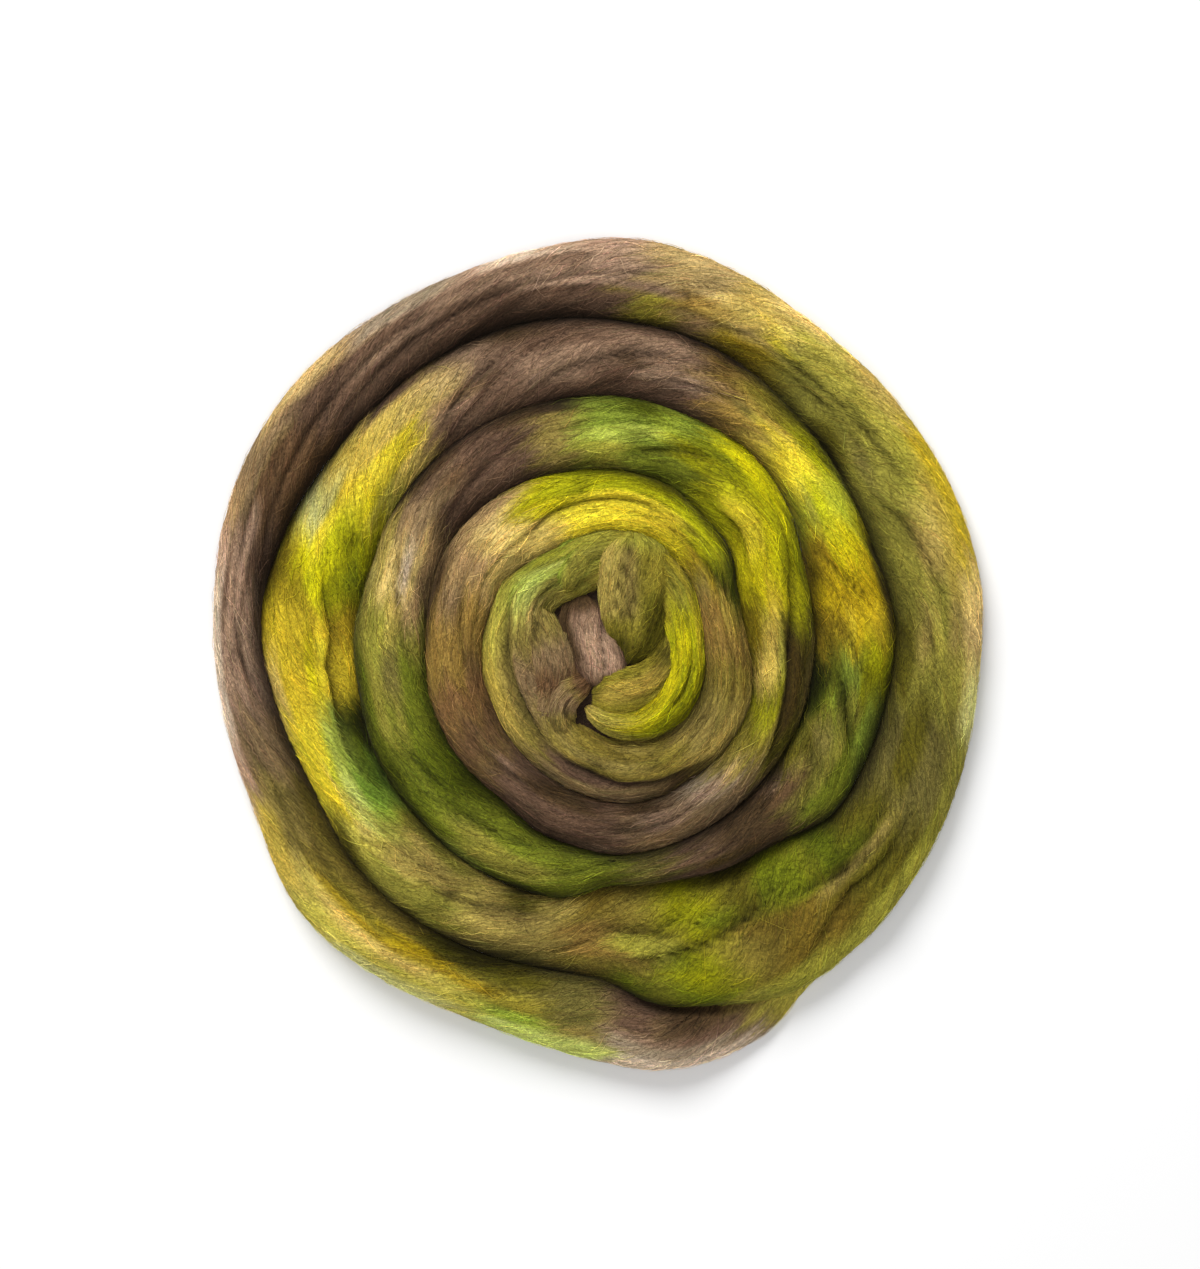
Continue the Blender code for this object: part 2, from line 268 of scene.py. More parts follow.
# Deep creases between the strand's folds, a row for each point that one passes: the angle
# wound, the share of the strand's width, the depth and the half width.
CREASES = {
    "gold_under": (
        (47, 0.02, 1.0, 2.0), (54, 0.12, 4.0, 2.6), (64, 0.3, 2.0, 2.4), (84, 0.26, 2.4, 2.4),
        (98, 0.28, 0.5, 2.0),
    ),
    "green_end": (
        (44, 0.3, 0.5, 1.8), (49, 0.48, 3.5, 2.2), (54, 0.72, 0.5, 1.8),
    ),
    "mauve_a": (
        (110, 0.12, 0.5, 2.0), (122, 0.36, 3.6, 2.4), (134, 0.58, 2.6, 2.2), (146, 0.66, 0.5, 2.0),
    ),
    "mauve_b": (
        (134, 0.1, 0.5, 2.0), (150, 0.3, 3.6, 2.6), (170, 0.52, 2.8, 2.2), (186, 0.62, 0.5, 2.0),
    ),
    "mauve_c": (
        (160, 0.1, 0.5, 2.0), (176, 0.3, 3.4, 2.4), (200, 0.5, 2.6, 2.2), (222, 0.66, 0.5, 2.0),
    ),
    "long_lime": (
        (200, 0.04, 0.5, 2.0), (222, 0.2, 1.6, 2.2), (245, 0.36, 2.2, 2.2), (262, 0.52, 2.6, 2.0),
        (272, 0.58, 0.5, 1.8),
    ),
    "low_lime": (
        (232, 0.08, 0.5, 2.0), (250, 0.22, 3.0, 2.2), (266, 0.34, 0.5, 2.0),
    ),
    "amber_under": (
        (268, 0.12, 0.5, 2.0), (277, 0.34, 3.6, 2.4), (287, 0.54, 3.2, 2.2), (297, 0.64, 0.5, 1.8),
    ),
    "olive_a": (
        (286, 0.12, 0.5, 2.0), (298, 0.38, 3.4, 2.4), (312, 0.6, 0.5, 2.0),
    ),
    "olive_b": (
        (312, 0.08, 0.5, 2.0), (330, 0.3, 3.0, 2.4), (348, 0.44, 0.5, 2.0),
    ),
    "band_rim": (
        (326, 0.64, 0.5, 1.6), (335, 0.69, 3.6, 2.2), (345, 0.72, 4.4, 2.2), (353, 0.84, 3.4, 2.2),
        (358, 0.94, 0.5, 1.8),
    ),
    "band_fold": (
        (348, 0.22, 0.5, 1.6), (356, 0.27, 4.0, 2.2), (366, 0.4, 5.4, 2.4), (373, 0.54, 5.2, 2.4),
        (382, 0.69, 4.6, 2.2), (392, 0.96, 0.5, 1.6),
    ),
    "band_lump": (
        (333, 0.5, 0.5, 1.6), (341, 0.46, 4.6, 2.2), (348, 0.4, 4.6, 2.2), (354, 0.34, 0.5, 1.6),
    ),
    "band_tuft": (
        (368, 0.04, 0.5, 1.6), (376, 0.22, 3.6, 2.0), (388, 0.4, 3.0, 2.0), (398, 0.5, 0.5, 1.6),
    ),
    "khaki_dip": (
        (399, 0.04, 1.0, 2.4), (408, 0.22, 5.0, 3.0), (420, 0.42, 3.0, 2.4), (432, 0.55, 0.5, 2.0),
    ),
    "pink_over": (
        (420, 0.06, 0.5, 2.0), (430, 0.22, 3.4, 2.4), (440, 0.42, 3.0, 2.2), (452, 0.58, 0.5, 2.0),
    ),
    "lobe": (
        (450, 0.1, 0.5, 2.0), (460, 0.26, 5.0, 2.6), (470, 0.2, 6.0, 3.0), (484, 0.14, 4.0, 2.4),
        (492, 0.3, 3.5, 2.4), (501, 0.55, 3.0, 2.2), (508, 0.75, 0.5, 2.0),
    ),
    "straw_end": (
        (534, 0.12, 0.5, 2.0), (541, 0.4, 4.5, 2.4), (548, 0.66, 4.0, 2.2), (556, 0.84, 0.5, 2.0),
    ),
    "second_a": (
        (552, 0.1, 0.5, 2.0), (564, 0.34, 3.6, 2.4), (578, 0.6, 3.0, 2.2), (590, 0.76, 0.5, 2.0),
    ),
    "second_b": (
        (572, 0.08, 0.5, 2.0), (586, 0.28, 4.0, 2.6), (600, 0.46, 0.5, 2.0),
    ),
    "amber_a": (
        (632, 0.08, 0.5, 2.0), (638, 0.3, 4.0, 2.4), (645, 0.62, 3.6, 2.2), (650, 0.85, 0.5, 2.0),
    ),
    "amber_b": (
        (648, 0.1, 0.5, 2.0), (655, 0.34, 4.0, 2.4), (662, 0.66, 3.4, 2.2), (667, 0.88, 0.5, 2.0),
    ),
    "dark_a": (
        (662, 0.1, 0.5, 2.0), (669, 0.38, 5.0, 2.6), (677, 0.7, 3.6, 2.4), (682, 0.88, 0.5, 2.0),
    ),
    "dark_b": (
        (678, 0.06, 0.5, 2.0), (684, 0.24, 5.5, 2.8), (692, 0.5, 4.2, 2.4), (699, 0.74, 0.5, 2.0),
    ),
    "third_a": (
        (770, 0.2, 0.5, 2.0), (790, 0.46, 3.0, 2.0), (812, 0.72, 0.5, 1.8),
    ),
    "third_b": (
        (836, 0.14, 0.5, 2.0), (850, 0.34, 3.4, 2.2), (866, 0.66, 3.0, 2.0), (876, 0.82, 0.5, 1.8),
    ),
    "third_c": (
        (876, 0.12, 0.5, 2.0), (896, 0.38, 3.4, 2.2), (914, 0.6, 0.5, 1.8),
    ),
    "leaf_fold": (
        (936, 0.16, 0.5, 2.0), (945, 0.36, 5.0, 2.4), (953, 0.56, 5.0, 2.4), (964, 0.74, 0.5, 2.0),
    ),
    "yellow_low": (
        (962, 0.06, 0.5, 2.0), (974, 0.12, 3.6, 2.2), (992, 0.14, 0.5, 2.0),
    ),
    "flank": (
        (976, 0.88, 0.5, 1.8), (992, 0.86, 2.2, 1.8), (1008, 0.74, 4.6, 2.2),
        (1022, 0.62, 5.5, 2.4), (1040, 0.72, 4.0, 2.4), (1056, 0.86, 0.5, 1.8),
    ),
    "fourth_a": (
        (1128, 0.1, 0.5, 1.8), (1140, 0.3, 3.0, 2.0), (1158, 0.52, 2.8, 1.8),
        (1176, 0.6, 0.5, 1.6),
    ),
    "tan_fork": (
        (1196, 0.16, 0.5, 1.8), (1212, 0.34, 3.0, 2.0), (1232, 0.6, 0.5, 1.8),
    ),
    "top_ply": (
        (1254, 0.12, 0.5, 1.6), (1264, 0.36, 4.5, 2.0), (1272, 0.45, 5.0, 2.2),
        (1290, 0.5, 4.0, 2.0), (1312, 0.58, 0.5, 1.6),
    ),
    "green_dip": (
        (1330, 0.3, 0.5, 2.0), (1342, 0.46, 4.5, 2.4), (1351, 0.74, 4.0, 2.4),
        (1358, 0.92, 0.5, 2.0),
    ),
    "tan_low": (
        (1396, 0.12, 0.5, 1.8), (1412, 0.26, 3.4, 2.0), (1428, 0.4, 0.5, 1.8),
    ),
    "mauve_strip": (
        (1424, 0.94, 0.5, 1.6), (1438, 0.82, 4.0, 2.0), (1462, 0.72, 4.0, 2.2),
        (1490, 0.7, 3.6, 2.0), (1506, 0.74, 0.5, 1.6),
    ),
    "low_notch": (
        (1490, 0.02, 0.5, 2.0), (1499, 0.12, 4.4, 2.4), (1512, 0.22, 0.5, 2.0),
    ),
    "rim": (
        (1500, 0.72, 0.5, 1.6), (1515, 0.7, 6.0, 2.0), (1560, 0.72, 7.0, 2.2),
        (1580, 0.76, 5.0, 2.0), (1602, 0.9, 0.5, 1.8),
    ),
    "mauve_core": (
        (1512, 0.16, 0.5, 2.0), (1534, 0.44, 3.6, 2.0), (1552, 0.56, 0.5, 1.8),
    ),
    "hook_side": (
        (1736, 0.62, 0.5, 1.6), (1762, 0.66, 3.0, 1.8), (1796, 0.6, 0.5, 1.6),
    ),
}

# The bunches of strand in the core, a row for each point of a bunch's middle line: place
# from the winding centre, height of its crest, width and thickness.
BUNCHES = {
    "bed": (
        (-2.0, -50.0, 18.0, 60.0, 17.0), (-2.0, -24.0, 23.0, 84.0, 22.0),
        (-2.0, 4.0, 21.0, 88.0, 20.0), (-2.0, 46.0, 19.0, 66.0, 18.0),
    ),
    "hanging_fold": (
        (14.0, 62.0, 35.0, 30.0, 24.0), (14.0, 51.0, 38.0, 36.0, 30.0),
        (15.0, 37.0, 39.5, 37.0, 32.0), (15.0, 21.0, 39.0, 34.0, 31.0),
        (14.0, 7.0, 36.0, 27.0, 27.0), (11.0, -5.0, 28.0, 14.0, 17.0),
    ),
    "green_fold": (
        (-6.0, 57.0, 25.0, 18.0, 16.0), (-12.0, 49.0, 31.5, 24.0, 21.0),
        (-17.0, 39.0, 33.0, 24.0, 22.0), (-19.5, 31.0, 29.0, 17.0, 18.0),
        (-20.0, 26.0, 24.0, 9.0, 11.0),
    ),
    "plug": (
        (-13.0, 31.0, 24.0, 17.0, 14.0), (-12.0, 21.0, 29.5, 24.0, 19.0),
        (-8.5, 10.0, 32.0, 27.0, 22.0), (-3.5, -1.0, 32.0, 28.0, 22.0),
        (0.0, -12.0, 29.0, 25.0, 18.0), (1.0, -19.0, 24.0, 15.0, 12.0),
    ),
    "inner_bend": (
        (36.0, 16.0, 28.0, 12.0, 16.0), (33.0, 4.0, 33.0, 15.0, 20.0),
        (28.0, -7.0, 35.0, 18.0, 23.0), (19.0, -15.0, 35.5, 21.0, 25.0),
        (8.0, -18.5, 35.0, 22.0, 25.0), (-2.0, -20.0, 32.5, 19.0, 22.0),
        (-9.0, -20.5, 27.0, 12.0, 16.0),
    ),
    "left": (
        (-44.0, 41.0, 20.0, 6.0, 8.0), (-38.0, 27.0, 26.0, 13.0, 17.0),
        (-31.5, 10.0, 30.5, 23.0, 23.0), (-26.0, -4.0, 31.0, 25.0, 23.0),
        (-24.0, -16.0, 30.0, 22.0, 22.0), (-27.0, -29.0, 28.0, 18.0, 19.0),
        (-27.0, -42.0, 24.0, 13.0, 15.0),
    ),
    "curl": (
        (-6.0, -10.0, 25.0, 9.0, 12.0), (-13.0, -14.0, 31.5, 13.0, 16.0),
        (-20.0, -19.0, 33.0, 15.0, 18.0), (-23.5, -27.0, 32.5, 16.0, 18.0),
        (-22.0, -36.0, 30.0, 16.0, 17.0), (-13.0, -43.0, 26.0, 13.0, 14.0),
    ),
}

# ---------------------------------------------------------------------------------------
# The dyes, as screen colours, and where each lies.

DYES = {
    "black_mauve": (0.19, 0.14, 0.1), "dark_umber": (0.28, 0.22, 0.07),
    "dark_mauve": (0.31, 0.235, 0.145), "mauve_brown": (0.42, 0.32, 0.245),
    "light_mauve": (0.56, 0.45, 0.355), "pale_mauve": (0.72, 0.59, 0.48),
    "bleached": (0.86, 0.775, 0.67), "grey_taupe": (0.63, 0.555, 0.45),
    "umber": (0.45, 0.335, 0.22), "rust": (0.515, 0.375, 0.23), "tan": (0.605, 0.485, 0.23),
    "taupe": (0.56, 0.46, 0.32), "pink_taupe": (0.7, 0.57, 0.385),
    "pale_taupe": (0.8, 0.685, 0.44), "bronze": (0.51, 0.445, 0.175),
    "brown_olive": (0.46, 0.38, 0.12), "deep_ochre": (0.47, 0.405, 0.06),
    "khaki": (0.56, 0.49, 0.245), "pale_khaki": (0.68, 0.6, 0.3), "grey_olive": (0.46, 0.42, 0.2),
    "olive": (0.57, 0.52, 0.17), "dark_olive": (0.39, 0.36, 0.085), "sage": (0.57, 0.54, 0.21),
    "deep_green": (0.19, 0.21, 0.02), "moss": (0.455, 0.48, 0.12),
    "dark_green": (0.335, 0.365, 0.05), "green": (0.46, 0.57, 0.18), "fern": (0.44, 0.47, 0.07),
    "leaf": (0.57, 0.63, 0.21), "soft_green": (0.68, 0.715, 0.29), "pale_leaf": (0.81, 0.84, 0.44),
    "spring": (0.76, 0.77, 0.2), "dull_lime": (0.66, 0.635, 0.23), "deep_lime": (0.57, 0.56, 0.03),
    "lime": (0.71, 0.7, 0.07), "chartreuse": (0.79, 0.74, 0.07), "yellow": (0.9, 0.82, 0.2),
    "lemon": (0.98, 0.9, 0.22), "acid": (0.91, 0.87, 0.07), "gold": (0.8, 0.7, 0.16),
    "amber": (0.77, 0.66, 0.08), "ochre": (0.65, 0.55, 0.12), "honey": (0.77, 0.67, 0.28),
    "hay": (0.75, 0.7, 0.29), "straw": (0.84, 0.73, 0.38), "pale_hay": (0.82, 0.8, 0.5),
    "pale_straw": (0.95, 0.83, 0.5),
}
BASE_DYE = "olive"

# A row for each patch along the strand: the angles wound at its ends, and its inner and
# outer sides as shares of the strand's width.
DYE_ROWS = (
    # First turn. Its pale patches along the outer rim, from 0.84 of the width out, are partly dye
    # and partly painted light on the rim.
    (-30, 12, -1, 2, "pale_khaki"), (-30, 10, 0.66, 2, "hay"), (-2, 12, -1, 0.42, "bronze"),
    (8, 22, -1, 2, "dark_mauve"), (8, 24, 0.52, 2, "mauve_brown"),
    (20, 33, -1, 0.52, "mauve_brown"), (20, 32, 0.5, 0.7, "light_mauve"),
    (10, 32, 0.66, 2, "grey_taupe"), (10, 30, 0.84, 2, "bleached"), (30, 50, -1, 2, "grey_olive"),
    (30, 44, 0.66, 0.86, "khaki"), (40, 53, 0.36, 0.68, "olive"), (39, 54, 0.64, 2, "leaf"),
    (30, 54, 0.84, 2, "pale_leaf"), (40, 58, -1, 0.34, "dark_olive"), (50, 90, 0.5, 2, "hay"),
    (57, 80, 0.52, 0.68, "straw"), (48, 86, 0.36, 0.52, "ochre"), (52, 90, 0.2, 0.38, "olive"),
    (50, 66, -1, 0.22, "dark_olive"), (56, 68, 0.18, 0.4, "amber"), (64, 92, -1, 0.22, "bronze"),
    (54, 72, 0.85, 2, "pale_hay"), (82, 101, 0.5, 2, "pale_khaki"), (84, 98, 0.74, 2, "honey"),
    (80, 101, -1, 0.5, "bronze"), (88, 100, 0.2, 0.5, "khaki"), (99, 114, -1, 2, "taupe"),
    (110, 144, -1, 2, "light_mauve"), (122, 140, 0.54, 0.7, "pale_mauve"),
    (128, 150, -1, 0.36, "mauve_brown"), (141, 166, -1, 0.66, "umber"),
    (141, 164, 0.64, 2, "taupe"), (158, 214, -1, 2, "mauve_brown"),
    (168, 184, 0.4, 0.56, "light_mauve"), (180, 204, 0.58, 2, "light_mauve"),
    (196, 216, 0.38, 0.7, "light_mauve"), (98, 140, 0.84, 2, "pale_mauve"),
    (112, 127, 0.38, 0.86, "pale_mauve"), (132, 144, 0.34, 0.56, "light_mauve"),
    (107, 131, 0.86, 2, "bleached"), (112, 130, -1, 0.26, "pale_mauve"),
    (138, 176, 0.84, 2, "pink_taupe"), (144, 159, 0.86, 2, "taupe"),
    (174, 222, 0.84, 2, "pale_mauve"), (193, 202, 0.86, 2, "bleached"),
    (208, 224, 0.64, 2, "pale_mauve"), (212, 226, 0.34, 0.64, "light_mauve"),
    (217, 233, 0.5, 2, "pale_taupe"), (222, 233, -1, 0.54, "tan"), (227, 240, -1, 0.36, "honey"),
    (231, 246, 0.5, 2, "straw"), (230, 250, 0.22, 0.66, "straw"), (237, 251, 0.36, 0.68, "lemon"),
    (239, 253, 0.52, 0.74, "pale_straw"), (230, 246, -1, 0.24, "ochre"),
    (241, 290, -1, 0.54, "sage"), (241, 290, 0.5, 2, "dull_lime"), (241, 262, 0.6, 2, "hay"),
    (246, 272, 0.44, 0.62, "sage"), (268, 292, 0.66, 2, "honey"), (262, 286, 0.84, 2, "gold"),
    (280, 302, -1, 0.66, "sage"), (276, 286, 0.36, 0.68, "straw"),
    (292, 302, 0.2, 0.5, "pale_khaki"), (294, 304, 0.36, 0.56, "hay"),
    (289, 302, 0.64, 2, "khaki"), (300, 314, 0.64, 2, "sage"), (287, 295, 0.85, 2, "pale_straw"),
    (299, 314, 0.86, 2, "straw"), (301, 315, -1, 0.66, "sage"), (311, 346, -1, 2, "grey_olive"),
    (308, 324, 0.2, 0.5, "dark_olive"), (306, 330, 0.84, 2, "sage"),
    (301, 312, 0.87, 2, "pale_hay"), (124, 132, 0.7, 0.84, "mauve_brown"),
    (125, 141, 0.36, 0.54, "pale_mauve"), (154, 168, 0.86, 2, "pale_taupe"),
    (171, 188, 0.86, 2, "grey_taupe"), (198, 212, 0.38, 0.66, "pale_mauve"),
    (222, 228, -1, 0.2, "pink_taupe"), (229, 236, 0.2, 0.36, "pale_straw"),
    (236, 246, 0.86, 2, "pale_straw"), (246, 252, 0.5, 0.68, "hay"), (250, 262, 0.86, 2, "straw"),
    (252, 261, -1, 0.2, "dark_olive"), (260, 268, 0.2, 0.36, "grey_olive"),
    (292, 308, -1, 0.2, "dark_olive"), (293, 300, 0.86, 2, "pale_taupe"),
    # The wide band and the second turn.
    (328, 352, -1, 2, "dark_olive"), (330, 350, 0.44, 0.56, "khaki"),
    (336, 352, -1, 0.4, "dark_green"), (346, 370, -1, 2, "brown_olive"),
    (346, 358, -1, 0.42, "fern"), (356, 371, -1, 0.4, "dark_olive"),
    (360, 374, 0.48, 0.84, "bronze"), (366, 384, -1, 2, "olive"), (370, 388, 0.66, 2, "fern"),
    (370, 378, 0.54, 0.84, "deep_lime"), (367, 376, -1, 0.5, "deep_lime"),
    (374, 382, 0.52, 0.72, "dark_green"), (379, 388, 0.44, 0.68, "dull_lime"),
    (381, 402, -1, 2, "bronze"), (380, 390, 0.44, 0.66, "dull_lime"),
    (382, 390, 0.84, 2, "dark_green"), (388, 400, 0.34, 0.76, "tan"),
    (390, 398, -1, 0.26, "brown_olive"), (326, 368, 0.88, 2, "dull_lime"),
    (399, 424, -1, 2, "khaki"), (410, 422, 0.52, 0.7, "pale_khaki"),
    (400, 414, 0.84, 2, "grey_olive"), (398, 426, -1, 0.22, "pale_khaki"),
    (404, 412, -1, 0.22, "dark_olive"), (420, 442, -1, 2, "sage"),
    (421, 436, 0.1, 0.5, "pale_khaki"), (430, 444, 0.3, 0.68, "pale_khaki"),
    (440, 453, 0.42, 2, "hay"), (437, 449, 0.87, 2, "dark_olive"), (440, 452, 0.2, 0.42, "leaf"),
    (449, 463, 0.68, 2, "yellow"), (446, 456, 0.5, 0.72, "pale_straw"),
    (449, 468, 0.52, 0.7, "spring"), (448, 472, 0.38, 0.54, "soft_green"),
    (445, 456, 0.36, 0.54, "pale_leaf"), (446, 472, -1, 0.38, "green"),
    (456, 472, -1, 0.22, "dark_green"), (458, 476, 0.6, 2, "yellow"), (470, 494, -1, 2, "gold"),
    (467, 480, 0.84, 2, "straw"), (472, 484, 0.38, 0.54, "chartreuse"),
    (484, 496, -1, 0.26, "ochre"), (492, 513, -1, 2, "lime"), (490, 500, 0.7, 2, "ochre"),
    (488, 497, 0.86, 2, "deep_ochre"), (492, 509, -1, 0.4, "deep_lime"),
    (500, 513, 0.52, 2, "yellow"), (510, 524, -1, 2, "yellow"), (510, 522, 0.56, 2, "honey"),
    (510, 520, -1, 0.36, "chartreuse"), (511, 521, 0.5, 0.7, "gold"), (511, 521, -1, 0.24, "hay"),
    (520, 537, -1, 2, "straw"), (517, 527, 0.66, 0.86, "honey"), (518, 532, 0.2, 0.54, "yellow"),
    (531, 543, -1, 0.5, "pink_taupe"), (534, 545, -1, 0.34, "light_mauve"),
    (540, 600, -1, 2, "mauve_brown"), (524, 538, 0.86, 2, "mauve_brown"),
    (540, 550, 0.54, 2, "light_mauve"), (535, 542, 0.5, 0.86, "pale_taupe"),
    (531, 540, -1, 0.2, "mauve_brown"), (552, 564, 0.2, 0.4, "light_mauve"),
    (583, 598, 0.85, 2, "black_mauve"), (552, 572, 0.38, 0.64, "light_mauve"),
    (570, 590, 0.6, 0.86, "light_mauve"), (578, 598, 0.26, 0.66, "light_mauve"),
    (577, 592, 0.22, 0.5, "pale_mauve"), (592, 603, -1, 2, "tan"),
    (590, 600, 0.86, 2, "dark_mauve"), (600, 613, 0.66, 2, "olive"), (601, 613, -1, 0.68, "honey"),
    (610, 624, 0.66, 2, "lime"), (610, 623, -1, 0.68, "yellow"), (612, 621, 0.34, 0.6, "lemon"),
    (621, 634, -1, 2, "spring"), (620, 630, 0.36, 0.56, "lime"), (631, 643, -1, 2, "chartreuse"),
    (630, 646, -1, 0.36, "ochre"), (640, 654, -1, 2, "amber"), (650, 664, -1, 2, "ochre"),
    (650, 661, 0.52, 0.7, "amber"), (637, 653, 0.86, 2, "dark_olive"), (661, 684, -1, 2, "moss"),
    (655, 669, 0.66, 2, "deep_lime"), (660, 672, 0.34, 0.68, "leaf"),
    (664, 680, -1, 0.22, "dark_green"), (673, 684, 0.16, 0.42, "dark_olive"),
    (680, 706, -1, 2, "sage"), (674, 706, 0.66, 2, "moss"), (692, 706, -1, 0.4, "umber"),
    (364, 372, 0.2, 0.36, "fern"), (460, 469, -1, 0.2, "deep_green"),
    (460, 469, 0.22, 0.36, "soft_green"), (476, 484, 0.2, 0.36, "lemon"),
    (485, 492, 0.36, 0.52, "ochre"), (493, 499, -1, 0.2, "fern"), (493, 500, 0.36, 0.54, "acid"),
    (503, 512, 0.7, 2, "pale_hay"), (495, 503, 0.6, 0.88, "acid"), (517, 524, 0.54, 0.68, "honey"),
    (548, 557, 0.86, 2, "dark_mauve"), (573, 579, 0.36, 0.52, "dark_mauve"),
    (589, 596, 0.54, 0.68, "pink_taupe"), (597, 603, 0.36, 0.54, "grey_olive"),
    (605, 612, 0.36, 0.52, "yellow"), (621, 628, 0.2, 0.36, "dull_lime"),
    (644, 652, 0.87, 2, "dark_umber"), (653, 660, 0.36, 0.52, "yellow"),
    (660, 677, -1, 0.2, "deep_green"), (669, 676, 0.52, 0.68, "dull_lime"),
    (669, 677, 0.68, 0.84, "sage"), (668, 686, 0.86, 2, "leaf"),
    (677, 686, 0.2, 0.5, "grey_olive"), (692, 700, -1, 0.2, "light_mauve"),
    (683, 693, -1, 0.22, "dark_olive"),
    # Third turn.
    (700, 723, -1, 2, "dark_mauve"), (719, 736, -1, 2, "mauve_brown"),
    (732, 748, -1, 2, "grey_olive"), (745, 845, -1, 2, "moss"), (766, 790, 0.5, 0.86, "sage"),
    (793, 815, -1, 0.52, "dark_green"), (790, 814, 0.86, 2, "dark_green"),
    (816, 842, 0.4, 0.86, "sage"), (841, 854, -1, 2, "sage"), (842, 854, 0.36, 0.72, "dull_lime"),
    (856, 868, -1, 2, "pale_taupe"), (844, 856, 0.66, 0.86, "sage"),
    (852, 868, -1, 0.34, "pink_taupe"), (865, 879, -1, 2, "pink_taupe"),
    (857, 869, 0.52, 2, "pale_straw"), (861, 872, 0.86, 2, "pale_hay"),
    (859, 869, 0.2, 0.4, "pale_taupe"), (847, 856, 0.34, 0.6, "straw"),
    (858, 874, 0.28, 0.56, "pale_taupe"), (858, 878, 0.82, 2, "pale_khaki"),
    (877, 914, -1, 2, "mauve_brown"), (871, 889, 0.4, 0.86, "taupe"),
    (878, 886, 0.66, 0.86, "mauve_brown"), (878, 894, 0.85, 2, "dark_mauve"),
    (911, 926, -1, 2, "khaki"), (904, 922, 0.84, 2, "dark_mauve"), (923, 950, -1, 2, "leaf"),
    (925, 938, 0.34, 0.54, "soft_green"), (937, 949, 0.52, 0.7, "soft_green"),
    (924, 938, -1, 0.34, "dull_lime"), (938, 962, -1, 0.38, "moss"),
    (935, 949, 0.86, 2, "dark_green"), (948, 962, 0.34, 2, "deep_lime"),
    (947, 958, 0.68, 2, "leaf"), (959, 1012, -1, 2, "lime"), (972, 1010, -1, 0.68, "chartreuse"),
    (973, 984, 0.36, 0.54, "yellow"), (960, 971, 0.52, 0.7, "deep_lime"),
    (960, 982, 0.78, 2, "acid"), (954, 965, 0.66, 0.84, "deep_lime"),
    (968, 984, 0.18, 0.44, "yellow"), (986, 1012, 0.68, 2, "deep_lime"),
    (984, 1006, 0.5, 0.72, "acid"), (998, 1012, 0.34, 0.66, "gold"),
    (1008, 1024, -1, 0.52, "honey"), (1008, 1052, 0.54, 2, "dark_olive"),
    (1014, 1046, 0.6, 0.86, "dark_umber"), (1020, 1034, -1, 0.4, "straw"),
    (1018, 1036, 0.38, 0.52, "dull_lime"), (1032, 1046, -1, 0.54, "deep_lime"),
    (998, 1024, -1, 0.2, "deep_ochre"), (1044, 1058, -1, 0.7, "olive"),
    (1056, 1084, -1, 2, "taupe"), (1056, 1071, -1, 0.52, "pale_khaki"),
    (1069, 1082, -1, 0.54, "grey_taupe"), (716, 726, 0.68, 0.86, "dark_umber"),
    (780, 789, 0.87, 2, "soft_green"), (796, 804, 0.68, 0.86, "dark_green"),
    (796, 806, 0.86, 2, "deep_green"), (821, 828, 0.52, 0.68, "moss"),
    (828, 844, 0.36, 0.66, "grey_olive"), (852, 858, 0.86, 2, "sage"),
    (861, 868, 0.22, 0.36, "pale_straw"), (861, 869, 0.36, 0.54, "bleached"),
    (884, 891, 0.52, 0.68, "umber"), (916, 924, 0.86, 2, "black_mauve"),
    (957, 964, 0.68, 0.86, "fern"), (973, 980, 0.2, 0.36, "lemon"),
    (996, 1005, 0.68, 0.86, "chartreuse"), (1021, 1028, 0.2, 0.36, "honey"),
    (1021, 1028, 0.38, 0.52, "sage"), (1018, 1036, 0.87, 2, "khaki"),
    (1045, 1052, 0.54, 0.68, "bronze"), (1052, 1060, -1, 0.2, "olive"),
    (1060, 1068, 0.2, 0.36, "pale_taupe"), (1060, 1068, 0.54, 0.68, "grey_taupe"),
    (1068, 1078, 0.2, 0.5, "pale_mauve"),
    # Fourth turn.
    (1081, 1102, -1, 2, "light_mauve"), (1085, 1103, -1, 0.2, "mauve_brown"),
    (1098, 1160, -1, 2, "mauve_brown"), (1112, 1140, -1, 0.36, "dark_mauve"),
    (1104, 1117, 0.85, 2, "light_mauve"), (1144, 1152, 0.2, 0.4, "light_mauve"),
    (1158, 1178, -1, 2, "umber"), (1175, 1194, -1, 2, "rust"), (1191, 1226, -1, 2, "tan"),
    (1212, 1226, 0.5, 0.84, "taupe"), (1224, 1242, -1, 2, "pink_taupe"),
    (1210, 1233, 0.85, 2, "dark_mauve"), (1231, 1242, -1, 0.24, "straw"),
    (1242, 1258, -1, 2, "pale_straw"), (1242, 1254, -1, 0.2, "khaki"),
    (1250, 1259, 0.2, 0.36, "honey"), (1242, 1252, 0.68, 0.88, "pale_taupe"),
    (1237, 1261, 0.87, 2, "pink_taupe"), (1259, 1306, 0.4, 2, "chartreuse"),
    (1254, 1276, -1, 0.4, "straw"), (1272, 1312, -1, 0.52, "lemon"),
    (1278, 1292, 0.5, 0.7, "lemon"), (1283, 1299, -1, 0.3, "lemon"),
    (1290, 1314, 0.5, 0.72, "yellow"), (1304, 1322, -1, 0.54, "gold"),
    (1268, 1340, 0.7, 2, "lime"), (1320, 1342, -1, 0.72, "lime"), (1322, 1342, -1, 0.38, "ochre"),
    (1313, 1328, -1, 0.22, "chartreuse"), (1338, 1352, 0.46, 2, "dark_green"),
    (1346, 1360, 0.8, 2, "dark_green"), (1350, 1367, 0.87, 2, "dark_green"),
    (1340, 1356, 0.34, 0.52, "ochre"), (1340, 1358, -1, 0.36, "khaki"),
    (1352, 1386, -1, 0.76, "tan"), (1365, 1386, 0.7, 2, "tan"), (1354, 1366, 0.5, 0.86, "honey"),
